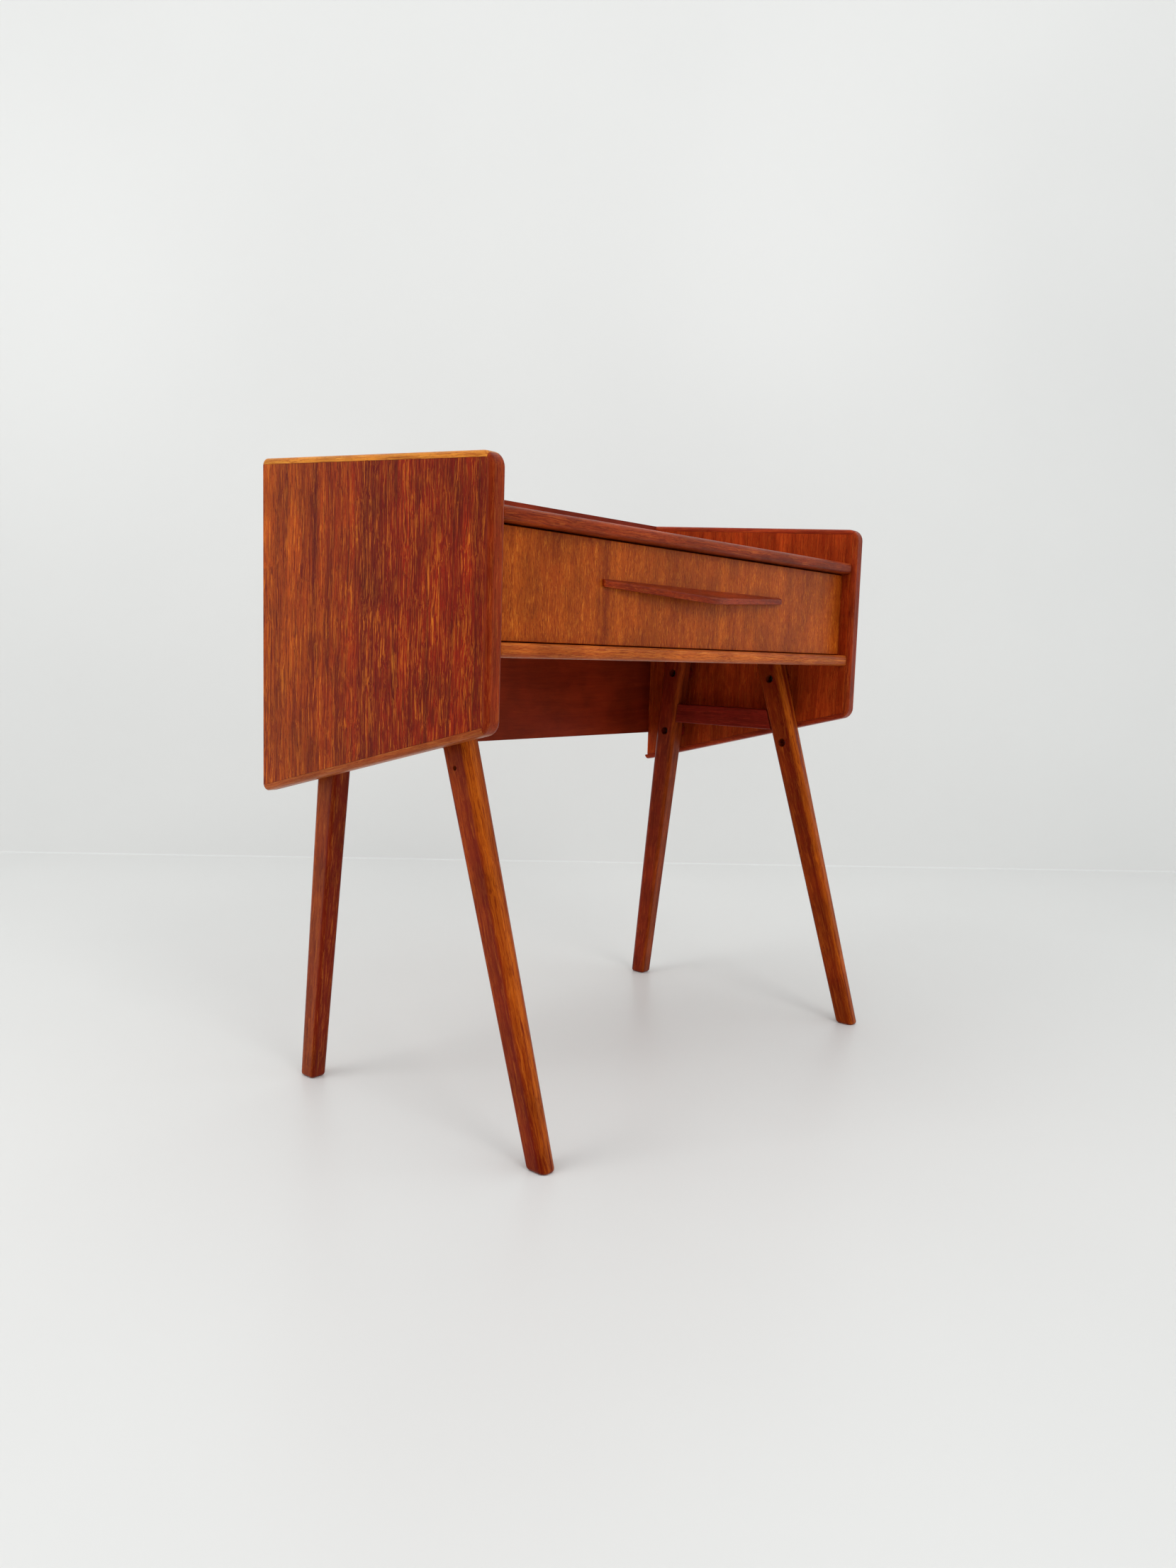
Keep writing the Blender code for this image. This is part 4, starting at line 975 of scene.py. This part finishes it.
def backdrop():
    """A pale floor that turns up into a wall behind the table."""
    bm = bmesh.new()
    path = [(-HALF_WIDTH, 0.0), (WALL_Y - TURN_R, 0.0)]
    for k in range(1, TURN_STEPS + 1):
        a = math.pi / 2 * k / TURN_STEPS
        path.append((WALL_Y - TURN_R + TURN_R * math.sin(a), TURN_R - TURN_R * math.cos(a)))
    path.append((WALL_Y, WALL_HEIGHT))
    rows = []
    aim = Matrix.Rotation(WALL_TURN, 4, "Z")
    for u, z in path:
        rows.append([bm.verts.new(aim @ Vector((w, u, z))) for w in (-HALF_WIDTH, HALF_WIDTH)])
    for a, b in zip(rows, rows[1:]):
        bm.faces.new((a[0], a[1], b[1], b[0]))
    me = bpy.data.meshes.new("studio")
    bm.to_mesh(me)
    bm.free()
    me.shade_smooth()
    o = bpy.data.objects.new("studio", me)
    bpy.context.scene.collection.objects.link(o)
    m = bpy.data.materials.new("pale floor")
    m.use_nodes = True
    t = m.node_tree
    s = t.nodes["Principled BSDF"]
    where = add(t, "TexCoord").outputs["Object"]
    cloud = noise(t, vec(t, "MULTIPLY", where, (1.2, 1.2, 1.2)), 3.0, 0.5)
    t.links.new(blend(t, cloud, (0.72, 0.72, 0.70, 1), (0.79, 0.79, 0.765, 1)),
                s.inputs["Base Color"])
    t.links.new(ramp(t, cloud, 0.3, 0.7, 0.34, 0.42), s.inputs["Roughness"])
    # seen from behind, the wall and the floor let the view through
    behind = add(t, "NewGeometry").outputs["Backfacing"]
    clear = add(t, "BsdfTransparent")
    both = add(t, "MixShader", {0: behind, 1: s.outputs[0], 2: clear.outputs[0]})
    t.links.new(both.outputs[0], t.nodes["Material Output"].inputs["Surface"])
    me.materials.append(m)


backdrop()


# ---------------------------------------------------------------------- lights
def lamp(name, place_at, target, size, power, colour=(1, 1, 1)):
    light = bpy.data.lights.new(name, "AREA")
    light.shape = "RECTANGLE"
    light.size, light.size_y = size
    light.energy = power
    light.color = colour
    o = bpy.data.objects.new(name, light)
    bpy.context.scene.collection.objects.link(o)
    o.location = place_at
    way = Vector(target) - Vector(place_at)
    o.rotation_euler = way.to_track_quat("-Z", "Y").to_euler()
    return o


MIDDLE = (0.0, 0.0, 0.45)
lamp("overhead", (-0.2, -0.2, 3.0), MIDDLE, (3.0, 3.0), 8)
lamp("front window", (-1.25, -3.6, 3.2), MIDDLE, (1.5, 1.5), 36)
lamp("side window", (-2.1, 0.75, 2.0), MIDDLE, (1.2, 1.2), 14)

world = bpy.data.worlds.new("room")
bpy.context.scene.world = world
world.use_nodes = True
world.node_tree.nodes["Background"].inputs["Color"].default_value = (0.95, 0.97, 1.0, 1)
world.node_tree.nodes["Background"].inputs["Strength"].default_value = 0.92
bpy.context.scene.view_settings.view_transform = "Standard"

# ---------------------------------------------------------------------- camera
EYE, FOCAL_LENGTH = (-1.145625, -0.919835, 0.515625), 35.052
YAW, PITCH, ROLL = (math.radians(a) for a in (-50.2981, -6.5255, 1.7867))
ahead = Vector((-math.sin(YAW) * math.cos(PITCH), math.cos(YAW) * math.cos(PITCH),
                math.sin(PITCH)))
right = ahead.cross(Vector((0, 0, 1))).normalized()
up = right.cross(ahead)
right, up = (math.cos(ROLL) * right + math.sin(ROLL) * up,
             -math.sin(ROLL) * right + math.cos(ROLL) * up)
lens = bpy.data.cameras.new("camera")
lens.sensor_fit = "HORIZONTAL"
lens.sensor_width = 36.0
lens.lens = FOCAL_LENGTH
lens.clip_start = 0.02
camera = bpy.data.objects.new("camera", lens)
bpy.context.scene.collection.objects.link(camera)
pose = Matrix((right, up, -ahead)).transposed().to_4x4()
pose.translation = EYE
camera.matrix_world = pose
bpy.context.scene.camera = camera
